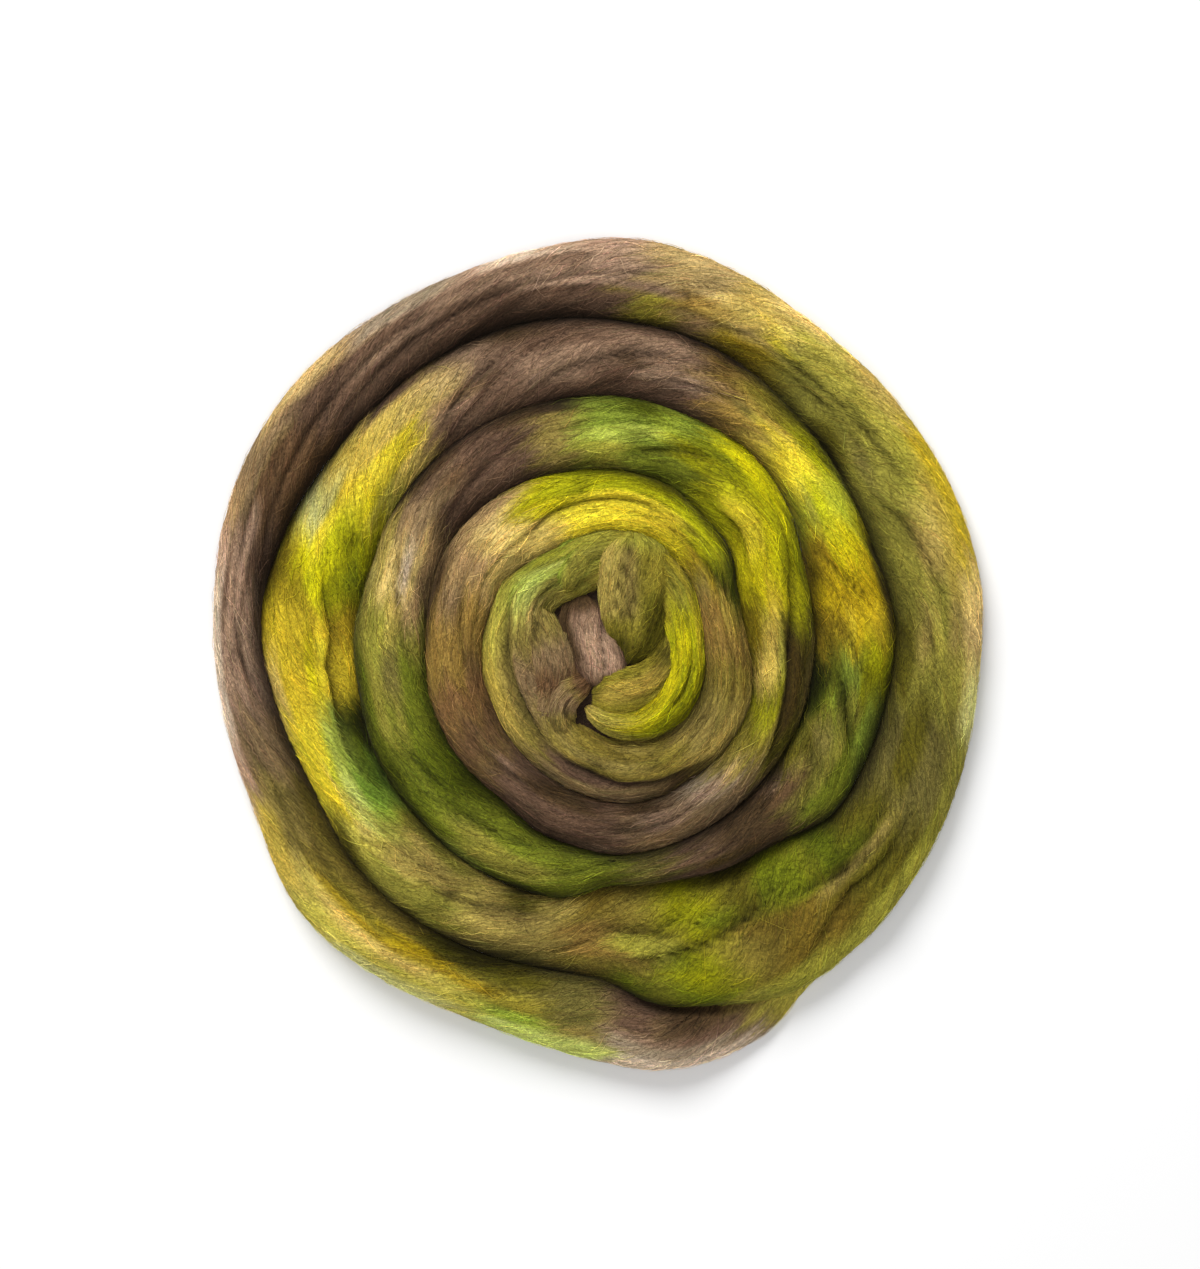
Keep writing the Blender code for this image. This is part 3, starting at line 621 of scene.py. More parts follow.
    (1384, 1402, -1, 2, "bronze"), (1391, 1405, 0.66, 0.86, "honey"), (1400, 1436, -1, 2, "khaki"),
    (1401, 1433, 0.62, 0.88, "pale_khaki"), (1415, 1433, 0.66, 0.86, "straw"),
    (1084, 1100, -1, 0.2, "dark_mauve"), (1084, 1098, 0.7, 2, "pink_taupe"),
    (1132, 1142, 0.2, 0.36, "umber"), (1188, 1196, -1, 0.2, "umber"),
    (1254, 1260, 0.2, 0.36, "pale_khaki"), (1292, 1300, 0.7, 0.84, "deep_lime"),
    (1299, 1309, 0.86, 2, "deep_lime"), (1317, 1324, -1, 0.2, "lemon"),
    (1396, 1405, 0.87, 2, "straw"),
    # Fifth turn, the hook.
    (1434, 1500, -1, 2, "bronze"), (1440, 1500, 0.36, 0.54, "khaki"),
    (1434, 1446, 0.36, 0.56, "bronze"), (1430, 1452, 0.82, 2, "dark_mauve"),
    (1446, 1504, 0.66, 0.86, "mauve_brown"), (1450, 1514, 0.85, 2, "taupe"),
    (1498, 1522, -1, 0.68, "khaki"), (1514, 1562, -1, 0.68, "taupe"),
    (1528, 1562, -1, 0.38, "umber"), (1518, 1562, -1, 0.2, "dark_mauve"),
    (1512, 1598, 0.68, 0.84, "khaki"), (1512, 1530, 0.83, 2, "pale_khaki"),
    (1526, 1562, 0.8, 2, "honey"), (1558, 1600, 0.8, 2, "hay"), (1560, 1586, -1, 0.68, "khaki"),
    (1581, 1596, -1, 0.7, "pale_khaki"), (1592, 1614, -1, 0.4, "grey_olive"),
    (1592, 1612, 0.38, 0.54, "dull_lime"), (1580, 1592, 0.48, 0.72, "hay"),
    (1591, 1628, 0.5, 0.86, "soft_green"), (1588, 1602, 0.38, 0.7, "pale_leaf"),
    (1596, 1610, -1, 0.2, "dark_olive"), (1592, 1608, 0.86, 2, "dull_lime"),
    (1606, 1628, 0.86, 2, "soft_green"), (1608, 1626, -1, 0.52, "grey_olive"),
    (1622, 1656, -1, 2, "sage"), (1622, 1668, 0.82, 2, "dull_lime"),
    (1654, 1675, -1, 0.84, "dull_lime"), (1646, 1663, -1, 0.42, "hay"),
    (1638, 1648, 0.16, 0.42, "dark_olive"), (1662, 1675, 0.64, 0.88, "olive"),
    (1672, 1708, -1, 2, "olive"), (1688, 1708, 0.5, 2, "dull_lime"),
    (1690, 1704, 0.86, 2, "honey"), (1704, 1802, -1, 2, "lime"),
    (1718, 1742, 0.22, 0.66, "chartreuse"), (1714, 1734, 0.5, 0.74, "acid"),
    (1714, 1734, 0.84, 2, "lemon"), (1740, 1798, -1, 0.44, "chartreuse"),
    (1750, 1806, 0.62, 2, "deep_lime"), (1798, 1822, -1, 0.84, "chartreuse"),
    (1437, 1444, 0.36, 0.52, "dark_olive"), (1444, 1460, -1, 0.2, "pale_khaki"),
    (1476, 1484, 0.54, 0.66, "pale_khaki"), (1483, 1494, 0.86, 2, "pale_taupe"),
    (1500, 1508, 0.2, 0.38, "pale_khaki"), (1524, 1532, 0.86, 2, "straw"),
    (1548, 1556, 0.68, 0.84, "pale_khaki"), (1580, 1589, 0.2, 0.38, "pale_straw"),
    (1604, 1611, 0.2, 0.36, "dark_olive"), (1612, 1620, -1, 0.2, "pale_khaki"),
    (1612, 1620, 0.7, 0.84, "pale_leaf"), (1620, 1628, -1, 0.2, "hay"),
    (1620, 1629, 0.2, 0.38, "soft_green"), (1620, 1630, 0.86, 2, "spring"),
    (1629, 1636, 0.2, 0.38, "hay"), (1636, 1645, -1, 0.2, "brown_olive"),
    (1644, 1652, 0.38, 0.52, "moss"), (1652, 1660, 0.68, 0.84, "olive"),
    (1660, 1669, 0.2, 0.68, "yellow"), (1684, 1692, 0.86, 2, "yellow"),
    (1700, 1708, -1, 0.2, "lemon"), (1740, 1748, 0.36, 0.52, "deep_lime"),
    (1748, 1757, 0.86, 2, "chartreuse"), (1764, 1781, 0.54, 0.68, "acid"),
    (1772, 1788, 0.36, 0.52, "lime"), (1818, 1870, -1, 2, "hay"), (1846, 1870, -1, 2, "straw"),
)
# The same for the bunches: shares of a bunch's length, and of its width.
BUNCH_DYES = {
    # The bed is near black all over: painted shade for the deep gaps of the core, where it shows.
    "bed": (
        (-0.1, 1.1, -1, 2, "black_mauve"),
    ),
    "hanging_fold": (
        (-0.1, 1.1, -1, 2, "olive"), (-0.1, 0.14, -1, 2, "dull_lime"),
        (0.1, 0.66, 0.46, 0.72, "khaki"), (0.1, 0.66, 0.7, 2, "pale_khaki"),
        (0.46, 0.86, -1, 0.4, "dark_olive"), (0.8, 1.1, -1, 2, "dark_olive"),
    ),
    "green_fold": (
        (-0.1, 1.1, -1, 2, "sage"), (-0.1, 1.1, 0.7, 2, "leaf"), (0.8, 1.1, -1, 2, "olive"),
    ),
    "plug": (
        (-0.1, 1.1, -1, 2, "mauve_brown"), (0.2, 1.1, 0.1, 0.8, "light_mauve"),
        (0.4, 0.85, 0.2, 0.66, "pale_mauve"), (-0.1, 0.16, -1, 2, "dark_mauve"),
        (-0.1, 0.6, 0.74, 2, "dark_mauve"),
    ),
    "inner_bend": (
        (-0.1, 1.1, -1, 2, "olive"), (0.36, 0.9, 0.26, 0.76, "honey"),
    ),
    "left": (
        (-0.1, 1.1, -1, 2, "khaki"), (0.44, 0.66, -1, 2, "taupe"), (0.6, 0.8, -1, 2, "umber"),
        (0.78, 1.1, -1, 2, "taupe"),
    ),
    "curl": (
        (-0.1, 1.1, -1, 2, "khaki"), (0.3, 0.6, -1, 2, "taupe"), (-0.1, 0.24, -1, 2, "umber"),
    ),
}

# ---------------------------------------------------------------------------------------
# Soft curves and noise.


def smooth_step(value):
    """A soft ramp from 0 to 1."""
    value = np.clip(value, 0.0, 1.0)
    return value * value * (3.0 - 2.0 * value)


def smooth_curve(at, knots, values):
    """A smooth curve through the knots, read at many places at once."""
    slopes = np.empty(len(values))
    slopes[1:-1] = (values[2:] - values[:-2]) / (knots[2:] - knots[:-2])
    slopes[0] = (values[1] - values[0]) / (knots[1] - knots[0])
    slopes[-1] = (values[-1] - values[-2]) / (knots[-1] - knots[-2])
    at = np.clip(at, knots[0], knots[-1])
    index = np.clip(np.searchsorted(knots, at, side="right") - 1, 0, len(knots) - 2)
    span = knots[index + 1] - knots[index]
    part = (at - knots[index]) / span
    return (
        values[index] * (1.0 + 2.0 * part) * (1.0 - part) ** 2
        + values[index + 1] * part**2 * (3.0 - 2.0 * part)
        + slopes[index] * span * part * (1.0 - part) ** 2
        - slopes[index + 1] * span * part**2 * (1.0 - part)
    )


def edge_knots():
    """The edge line's points in order: degrees wound, and distances from the centre."""
    knots = list(TUCKED_ROWS) + list(HOOK_ROWS)
    for row in EDGE_ROWS:
        values = dict(zip(EDGE_COLUMNS, row))
        wound = (values["bearing"] - FIRST_BEARING) % 360
        for turn, column in enumerate(EDGE_COLUMNS[1:]):
            knots.append((wound + 360.0 * turn, values[column]))
    return np.array(sorted(knots)).T


KNOT_ANGLES, KNOT_DISTANCES = edge_knots()
NOISE_GRID = np.random.default_rng(NOISE_SEED).random((NOISE_SIZE, NOISE_SIZE))


def soft_noise(along, across, seed, cells=NOISE_SIZE):
    """Smooth noise from 0 to 1, which repeats after so many cells across."""
    along = along + NOISE_SHIFT * seed
    column = np.floor(along).astype(int)
    row = np.floor(across).astype(int)
    right = smooth_step(along - column)
    up = smooth_step(across - row)
    shift = NOISE_ROW_SHIFT * seed
    low, high = (row % cells + shift) % NOISE_SIZE, ((row + 1) % cells + shift) % NOISE_SIZE
    left, after = column % NOISE_SIZE, (column + 1) % NOISE_SIZE
    bottom = NOISE_GRID[left, low] * (1.0 - right) + NOISE_GRID[after, low] * right
    top = NOISE_GRID[left, high] * (1.0 - right) + NOISE_GRID[after, high] * right
    return bottom * (1.0 - up) + top * up


def layered_noise(layers, length, ply, seed):
    """Layers of noise about 0 that run along the fibres.

    ply is the angle round the strand, less the twist."""
    turns = ply / FULL_TURN
    noise = 0.0
    for order, (span, count, strength) in enumerate(layers):
        layer = soft_noise(length / span, turns * count, seed + order, count)
        noise = noise + strength * (layer - 0.5)
    return noise


def edge(wound):
    """Distance of the strand's outer edge from the winding centre."""
    return smooth_curve(wound, KNOT_ANGLES, KNOT_DISTANCES)


def rounded(value):
    """A sine or cosine turned into the boxier curve of the strand's section."""
    return np.sign(value) * np.abs(value) ** (2.0 / SQUARENESS)


def share_across(around, reach=0.5):
    """Place across the width at an angle round: 0 at the inner side, 1 at the outer."""
    return 0.5 + reach * rounded(np.cos(around))


def upper_share(around):
    """1 at the crest, and little from the widest line down."""
    return LOWER_FOLDS + (1.0 - LOWER_FOLDS) * np.maximum(np.sin(around), 0.0)


def round_tips(length, total, first_cap, last_cap):
    """Size along a surface that closes in a round tip at both ends."""
    close = np.clip((length + TIP_BLUNTNESS) / first_cap, 0.0, 1.0)
    close = close * np.clip((total + TIP_BLUNTNESS - length) / last_cap, 0.0, 1.0)
    return np.sqrt(np.clip(1.0 - (1.0 - close) ** 2, 0.0, 1.0))


def tuck_reach(wound):
    """How far the outer end reaches in under the stretch that covers it."""
    return TUCK_DEPTH * smooth_step((TUCK_FADE - wound) / TUCK_FADE)


def over_tuck(wound):
    """1 where the strand passes over the outer end, and 0 elsewhere."""
    covered = wound - 360.0
    fading = smooth_step((TUCK_FADE + COVER_FADE - covered) / COVER_FADE)
    return smooth_step((covered + COVER_LEAD) / COVER_FADE) * fading


def tucked_level(wound, distance, level):
    """Heights on the strand, kept low where its end is covered and raised over that end."""
    free = smooth_step((distance - edge(wound + 360.0) - TUCK_MARGIN) / TUCK_SLOPE)
    fading = smooth_step((wound - TUCK_FADE) / TUCK_END)
    high = TUCK_HEIGHT + MOST_HEIGHT * np.maximum(free, fading)
    level = np.where(wound < TUCK_FADE + TUCK_END, np.minimum(level, high), level)
    start = edge(wound) - tuck_reach(wound - 360.0)
    raised = smooth_step((distance - start + COVER_REACH) / COVER_SLOPE) * over_tuck(wound)
    return np.maximum(level, (TUCK_HEIGHT + TUCK_CLEARANCE) * raised)


def wool_relief(length, ply, seed, strength):
    """Folds, creases and streaks of combed wool, in millimetres out of the surface."""
    relief = layered_noise(FOLD_LAYERS, length, ply, seed)
    for order, (span, count, depth, width) in enumerate(FINE_CREASES, len(FOLD_LAYERS)):
        crease = layered_noise(((span, count, 1.0),), length, ply, seed + order)
        relief -= depth * np.exp(-np.abs(crease / width))
    return relief * strength


def groove_shade(off):
    """The share of the painted groove shade at a distance from the groove, where its width is 1.
    """
    return np.exp(-(off**GROOVE_POWER))


def hollow_light(relief):
    """Light on the folds: less in the hollows and a little more on the crests."""
    return 1.0 + np.clip(relief * HOLLOW_SHADE, *HOLLOW_LIMITS)


def laid_dyes(plan, patches, along, bleed, side, side_bleed):
    """Linear colours of the patches, laid over each other with soft edges."""
    colour = np.tile(plan.dye(BASE_DYE), (len(along), 1))
    for first, last, low, high, name in patches:
        weight = smooth_step((along - first) / bleed + 0.5)
        weight *= smooth_step((last - along) / bleed + 0.5)
        weight *= smooth_step((side - low) / side_bleed + 0.5)
        weight *= smooth_step((high - side) / side_bleed + 0.5)
        colour += (plan.dye(name) - colour) * weight[:, None]
    return colour


# ---------------------------------------------------------------------------------------
# The strand and the bunches, each as a surface that is read at a length along it and an
# angle round it. The angle is 0 at the outer side, a quarter turn at the crest.


class Strand:
    """The wound strand's surface."""

    name = "strand"

    def __init__(self, plan):
        self.plan = plan
        self.press = plan.turn_press / MM
        self.width = plan.width / MM
        self.height = plan.height / MM
        self.wound = np.linspace(START, HOOK_END, WINDING_STEPS)
        inner, outer = self.sides(self.wound)
        steps = np.radians(np.diff(self.wound)) * ((inner + outer) / 2.0)[:-1]
        self.lengths = np.concatenate(([0.0], np.cumsum(steps)))
        self.total = self.lengths[-1]
        pitch = plan.twist_pitch / MM * np.interp(self.wound, *np.array(PITCH_ROWS).T)
        turning = FULL_TURN / pitch[:-1] * np.diff(self.lengths)
        self.twist = np.concatenate(([0.0], np.cumsum(turning)))

    def sides(self, wound):
        """Inner and outer distance from the winding centre."""
        inner = edge(wound + 360.0) - self.press / 2.0
        return inner - tuck_reach(wound), edge(wound) + self.press / 2.0

    def wound_at(self, length):
        """Degrees wound at a length along the strand."""
        return np.interp(length, self.lengths, self.wound)

    def ply(self, length, around):
        """The angle round the strand less its twist, which is even along a fibre."""
        return around + np.interp(length, self.lengths, self.twist)

    def creases(self, wound, share, width, upper):
        """Depth of the listed creases."""
        depth = np.zeros(len(wound))
        for points in CREASES.values():
            knots, shares, depths, widths = np.array(points).T
            inside = (wound >= knots[0]) & (wound <= knots[-1]) & upper
            if not inside.any():
                continue
            at = wound[inside]
            off = share[inside] - smooth_curve(at, knots, shares)
            off = off * width[inside] / np.interp(at, knots, widths)
            depth[inside] += np.interp(at, knots, depths) * np.exp(-np.abs(off) ** CREASE_POWER)
        return depth

    def relief(self, length, around):
        """Folds and creases, in millimetres out of the surface."""
        wound = self.wound_at(length)
        inner, outer = self.sides(wound)
        upper = upper_share(around)
        ply = self.ply(length, around)
        folds = wool_relief(length, ply, STRAND_SEED, self.plan.relief * upper)
        puckers = layered_noise(PUCKER_LAYERS, length, ply, PUCKER_SEED)
        folds += puckers * np.interp(wound, *np.array(PUCKER_ROWS).T) * upper
        creased = np.sin(around) > CREASE_START
        return folds - self.creases(wound, share_across(around), outer - inner, creased)

    def shade(self, length, around):
        """How much light reaches down among the fibres: less in hollows and grooves."""
        wound = self.wound_at(length)
        inner, outer = self.sides(wound)
        width = outer - inner
        across = share_across(around) * width
        knots, low, high = np.array(GROOVE_ROWS).T
        low_side = groove_shade(across / INNER_GROOVE) * np.interp(wound, knots, low)
        high_side = groove_shade((width - across) / OUTER_GROOVE) * np.interp(wound, knots, high)
        dark = self.plan.groove_shade * np.maximum(low_side, high_side)
        return (1.0 - np.minimum(dark, DARKEST_GROOVE_SHADE)) * hollow_light(self.relief(length, around))

    def point(self, length, around, lift=0.0):
        """Places on the surface, in millimetres from the winding centre."""
        wound = self.wound_at(length)
        inner, outer = self.sides(wound)
        width = outer - inner
        height = np.clip(self.height * np.sqrt(self.width / width), LEAST_HEIGHT, MOST_HEIGHT)
        height += SWELL_HEIGHT * np.sin(FULL_TURN * length / SWELL_LENGTH)
        height += TUCK_RISE * over_tuck(wound)
        grown = smooth_step(wound / END_GROWTH)
        height = TUCK_HEIGHT + (height - TUCK_HEIGHT) * grown
        taper = smooth_step((HOOK_END - wound) / HOOK_TAPER)
        size = HOOK_TIP_SHARE + (1.0 - HOOK_TIP_SHARE) * np.sqrt(taper)
        size *= round_tips(length, self.total, START_CAP, HOOK_CAP)
        half = width / 2.0 * size
        height = height * size
        across, up = rounded(np.cos(around)), rounded(np.sin(around))
        valley = 0.5 - 0.5 * np.cos(FOLD_COUNT * self.ply(length, around))
        grow = 1.0 - self.plan.fold_depth * upper_share(around) * valley * grown
        reach = np.hypot(half * across, height / 2.0 * up) + LEAST_REACH
        detail = self.relief(length, around) * (TUCKED_RELIEF + (1.0 - TUCKED_RELIEF) * grown)
        grow = grow + (detail + lift) / reach
        distance = (inner + outer) / 2.0 + half * across * grow
        level = 0.5 + 0.5 * up * grow
        level = (level - FOOT_SHARE) / (1.0 - FOOT_SHARE) * height
        level = tucked_level(wound, distance, np.maximum(level, 0.0))
        bearing = np.radians(FIRST_BEARING + wound)
        return np.stack((distance * np.sin(bearing), distance * np.cos(bearing), level), 1)

    def dye(self, length, around, bleed):
        """Linear dye colours on the surface, times the painted shade of grooves and hollows and
        the painted light on crests; bleed shifts them along the strand.
        """
        wound = self.wound_at(length)
        inner, outer = self.sides(wound)
        # Below its widest line the strand keeps to the dyes of its middle.
        reach = 0.5 - FLANK_INSET * smooth_step(-np.sin(around) / FLANK_FADE)
        wander = soft_noise(length / WANDER_LENGTH, around * WANDER_CELLS, WANDER_SEED) - 0.5
        side = share_across(around, reach) + DYE_WANDER * wander
        degree = np.radians((inner + outer) / 2.0)
        wound = wound + bleed / degree
        colour = laid_dyes(self.plan, DYE_ROWS, wound, DYE_BLEED / degree, side, DYE_SIDE_BLEED)
        # The painted shade of grooves and hollows, and the painted light on crests.
        return colour * self.shade(length, around)[:, None]


class Bunch:
    """The surface of one bunch of the core."""

    def __init__(self, plan, name):
        self.plan = plan
        self.name = name
        self.rows = np.array(BUNCHES[name])
        steps = np.hypot(*np.diff(self.rows[:, :2], axis=0).T)
        self.knots = np.concatenate(([0.0], np.cumsum(steps)))
        self.total = self.knots[-1]
        self.seed = FIRST_BUNCH_SEED + BUNCH_SEED_STEP * sorted(BUNCHES).index(name)

    def ply(self, length, around):
        """The angle round the bunch, whose fibres have hardly any twist."""
        return around + length / BUNCH_TWIST

    def relief(self, length, around):
        """Folds and creases, in millimetres out of the surface."""
        strength = self.plan.relief * BUNCH_RELIEF
        return wool_relief(length, self.ply(length, around), self.seed, strength)

    def point(self, length, around, lift=0.0):
        """Places on the surface, in millimetres from the winding centre."""
        x, y, crest, width, thickness = (
            smooth_curve(length, self.knots, column) for column in self.rows.T
        )
        step = 0.5
        ahead = np.clip(length + step, 0.0, self.total)
        behind = np.clip(length - step, 0.0, self.total)
        run_x, run_y = (
            smooth_curve(ahead, self.knots, column) - smooth_curve(behind, self.knots, column)
            for column in self.rows[:, :2].T
        )
        run = np.hypot(run_x, run_y)
        side_x, side_y = run_y / run, -run_x / run
        cap = np.minimum(self.total / 2.0, CORE_CAP)
        size = round_tips(length, self.total, cap, cap)
        half, tall = width / 2.0 * size, thickness / 2.0 * size
        across, up = rounded(np.cos(around)), rounded(np.sin(around))
        reach = np.hypot(half * across, tall * up) + LEAST_REACH
        grow = 1.0 + (self.relief(length, around) + lift) / reach
        level = crest - thickness / 2.0 - CORE_DROP * (1.0 - size) + tall * up * grow
        place_x = x + side_x * half * across * grow
        place_y = y + side_y * half * across * grow
        return np.stack((place_x, place_y, np.maximum(level, CORE_FLOOR)), 1)

    def dye(self, length, around, bleed):
        """Linear dye colours on the surface, times painted shade on its lower sides and in its
        hollows and painted light on its crests.
        """
        along = length / self.total + bleed / BUNCH_STREAK
        patches = BUNCH_DYES[self.name]
        side = share_across(around)
        colour = laid_dyes(self.plan, patches, along, BUNCH_BLEED, side, BUNCH_SIDE_BLEED)
        # Painted shade down the bunch's lower sides.
        flank = smooth_step((FLANK_START - np.sin(around)) / FLANK_REACH)
        low = 1.0 - self.plan.groove_shade * flank
        return colour * (low * hollow_light(self.relief(length, around)))[:, None]


def to_frame(points):
    """Millimetres from the winding centre, turned into metres in the frame."""
    return (points + np.array((*WINDING_CENTRE, 0.0))) * MM


# ---------------------------------------------------------------------------------------
# Meshes.


def clear_selection():
    """Nothing stays selected or in edit mode."""
    if bpy.context.mode != "OBJECT":
        bpy.ops.object.mode_set(mode="OBJECT")
    bpy.ops.object.select_all(action="DESELECT")


def coordinates(mesh):
    """The mesh's vertices as rows."""
    found = np.empty(len(mesh.vertices) * 3)
    mesh.vertices.foreach_get("co", found)
    return found.reshape(-1, 3)


def set_coordinates(mesh, places):
    """Puts the mesh's vertices at the places."""
    mesh.vertices.foreach_set("co", np.ascontiguousarray(places, dtype=np.float32).ravel())
    mesh.update()


def set_shaded_dye(mesh, colours):
    """Keeps the dye with its painted shade and light on the mesh's points, where the wool's
    material reads it.
    """
    layer = mesh.color_attributes.new("dye", "FLOAT_COLOR", "POINT")
    rows = np.ones((len(colours), 4), dtype=np.float32)
    rows[:, :3] = colours
    layer.data.foreach_set("color", rows.ravel())


def set_map(mesh, name, places):
    """A UV map from a place for each corner."""
    layer = mesh.uv_layers.new(name=name)
    layer.uv.foreach_set("vector", np.ascontiguousarray(places, dtype=np.float32).ravel())


def straight_tube(name, rings, points_round):
    """A straight tube of length 1 along Z with closed ends, from a cylinder."""
    clear_selection()
    bpy.ops.mesh.primitive_cylinder_add(
        vertices=points_round, radius=1.0, depth=1.0, location=(0.0, 0.0, 0.5)
    )
    tube = bpy.context.object
    bpy.ops.object.transform_apply(location=True, rotation=True, scale=True)
    tube.name = tube.data.name = name
    bpy.ops.object.mode_set(mode="EDIT")
    bpy.ops.mesh.select_mode(type="EDGE")
    bpy.ops.mesh.select_all(action="DESELECT")
    bpy.ops.object.mode_set(mode="OBJECT")
    places = coordinates(tube.data)
    for line in tube.data.edges:
        ends = places[list(line.vertices)]
        line.select = abs(ends[0, 2] - ends[1, 2]) > 0.5
    bpy.ops.object.mode_set(mode="EDIT")
    bpy.ops.mesh.subdivide_edgering(number_cuts=rings - 2, interpolation="LINEAR")
    bpy.ops.object.mode_set(mode="OBJECT")
    clear_selection()
    return tube


def dye_streak(surface, length, around):
    """How far, in millimetres, each lock of fibres carries its dye along the strand."""
    return layered_noise(STREAK_LAYERS, length, surface.ply(length, around), STREAK_SEED)


def inset(share, margin):
    """A share from 0 to 1 that leaves a margin at both ends."""
    return margin + (1.0 - 2.0 * margin) * share


def wind(tube, surface):
    """Winds a straight tube into the surface's place, and dyes it."""
    mesh = tube.data
    straight = coordinates(mesh)
    length = straight[:, 2] * surface.total
    around = np.arctan2(straight[:, 1], straight[:, 0])
    set_coordinates(mesh, to_frame(surface.point(length, around)))
    set_shaded_dye(mesh, surface.dye(length, around, dye_streak(surface, length, around)))
    corners = np.empty(len(mesh.loops), dtype=np.int32)
    mesh.loops.foreach_get("vertex_index", corners)
    sizes = np.empty(len(mesh.polygons), dtype=np.int32)
    mesh.polygons.foreach_get("loop_total", sizes)
    face_of = np.repeat(np.arange(len(sizes)), sizes)
    # The seam of the maps runs along the underside.
    turn = (around[corners] / FULL_TURN + 0.25) % 1.0
    most = np.zeros(len(sizes))
    np.maximum.at(most, face_of, turn)
    turn = np.where((most[face_of] > 0.75) & (turn < 0.25), turn + 1.0, turn)
    ply = surface.ply(length[corners], (turn - 0.25) * FULL_TURN)
    set_map(mesh, "Combing", np.stack((length[corners] * MM, ply * COMBING_WIDTH * MM), 1))
    # The bake's map lays the surface out in rows.
    rows = max(1, round(math.sqrt(surface.total / MAP_ROW_LENGTH)))
    along = straight[corners, 2] * rows
    least = np.full(len(sizes), np.inf)
    np.minimum.at(least, face_of, along)
    row = np.minimum(np.floor(least + 1e-6), rows - 1)[face_of]
    across = (row + inset(turn, ROW_MARGIN)) / rows
    along = inset(np.clip(along - row, 0.0, 1.0), END_MARGIN)
    set_map(mesh, "OFBake", np.stack((along, across), 1))
    mesh.shade_smooth()
    return tube


def straight_fibre(rings):
    """One fibre to copy: a three-sided spindle of length 1 along Z, from a cylinder."""
    fibre = straight_tube("fibre", rings, 3)
    bpy.context.view_layer.objects.active = fibre
    for end in (0.0, 1.0):
        bpy.ops.object.mode_set(mode="EDIT")
        bpy.ops.mesh.select_mode(type="VERT")
        bpy.ops.mesh.select_all(action="DESELECT")
        bpy.ops.object.mode_set(mode="OBJECT")
        for vertex in fibre.data.vertices:
            vertex.select = abs(vertex.co.z - end) < 1e-4
        bpy.ops.object.mode_set(mode="EDIT")
        bpy.ops.mesh.merge(type="CENTER")
        bpy.ops.object.mode_set(mode="OBJECT")
    bpy.ops.object.mode_set(mode="EDIT")
    bpy.ops.mesh.select_all(action="SELECT")
    bpy.ops.mesh.normals_make_consistent(inside=False)
    bpy.ops.object.mode_set(mode="OBJECT")
    return fibre


def unit(vectors):
    """The vectors of the last axis, made 1 long."""
    return vectors / np.maximum(np.linalg.norm(vectors, axis=-1, keepdims=True), 1e-6)


def lay_fibres(name, surfaces, picks, template, crimp_length):
    """Copies of the template fibre laid along the surfaces, as one mesh.

    picks holds a value for each fibre: its surface, the length and the angle of its middle,
    its own length and half thickness, how far its middle, its ends and its tip stand off,
    how it strays and waves sideways, and its dye's shift and tint."""
    spindle = coordinates(template.data)
    stations = np.unique(np.round(spindle[:, 2], 4))
    which = np.searchsorted(stations, np.round(spindle[:, 2], 4))
    count, ring = len(picks["surface"]), len(stations)
    centre = np.empty((count, ring, 3))
    outward = np.empty((count, ring, 3))
    colours = np.empty((count, ring, 3))
    for index, surface in enumerate(surfaces):
        chosen = np.flatnonzero(picks["surface"] == index)
        if not len(chosen):
            continue
        shape = (len(chosen), ring, 3)
        pick = {key: values[chosen, None] for key, values in picks.items()}
        part = np.tile(stations - 0.5, (len(chosen), 1))
        length = pick["length"] + part * pick["own"]
        length = np.clip(length, FIBRE_INSET, surface.total - FIBRE_INSET)
        twist = surface.ply(length, 0.0) - surface.ply(pick["length"], 0.0)
        waves = part * pick["own"] * FULL_TURN / crimp_length
        crimp = pick["crimp"] * np.sin(pick["wave"] + waves)
        around = pick["around"] - twist + pick["stray"] * part + crimp
        lift = pick["ends"] + (1.0 - (2.0 * part) ** 2) * pick["rise"]
        lift = lift + pick["tip"] * np.maximum(part * 2.0, 0.0) ** 2
        flat = (length.ravel(), around.ravel())
        base = surface.point(*flat, lift.ravel())
        above = surface.point(*flat, lift.ravel() + 1.0)
        centre[chosen] = base.reshape(shape)
        outward[chosen] = unit(above - base).reshape(shape)
        bleed = np.repeat(pick["bleed"], ring) + dye_streak(surface, *flat)
        # Each fibre takes the surface's dye, with its painted shade and light.
        colours[chosen] = surface.dye(*flat, bleed).reshape(shape) * pick["tint"]
    side = unit(np.cross(unit(np.gradient(centre, axis=1)), outward))
    thick = picks["thick"][:, None, None] * np.sin(math.pi * stations)[None, :, None] ** 0.5
    swell = thick[:, which]
    places = centre[:, which] + side[:, which] * spindle[None, :, 0:1] * swell
    places = places + outward[:, which] * spindle[None, :, 1:2] * swell * FIBRE_FLATNESS
    places[:, :, 2] = np.maximum(places[:, :, 2], FLOOR_CLEARANCE)
    return copies(name, template, to_frame(places.reshape(-1, 3)), colours[:, which], count)


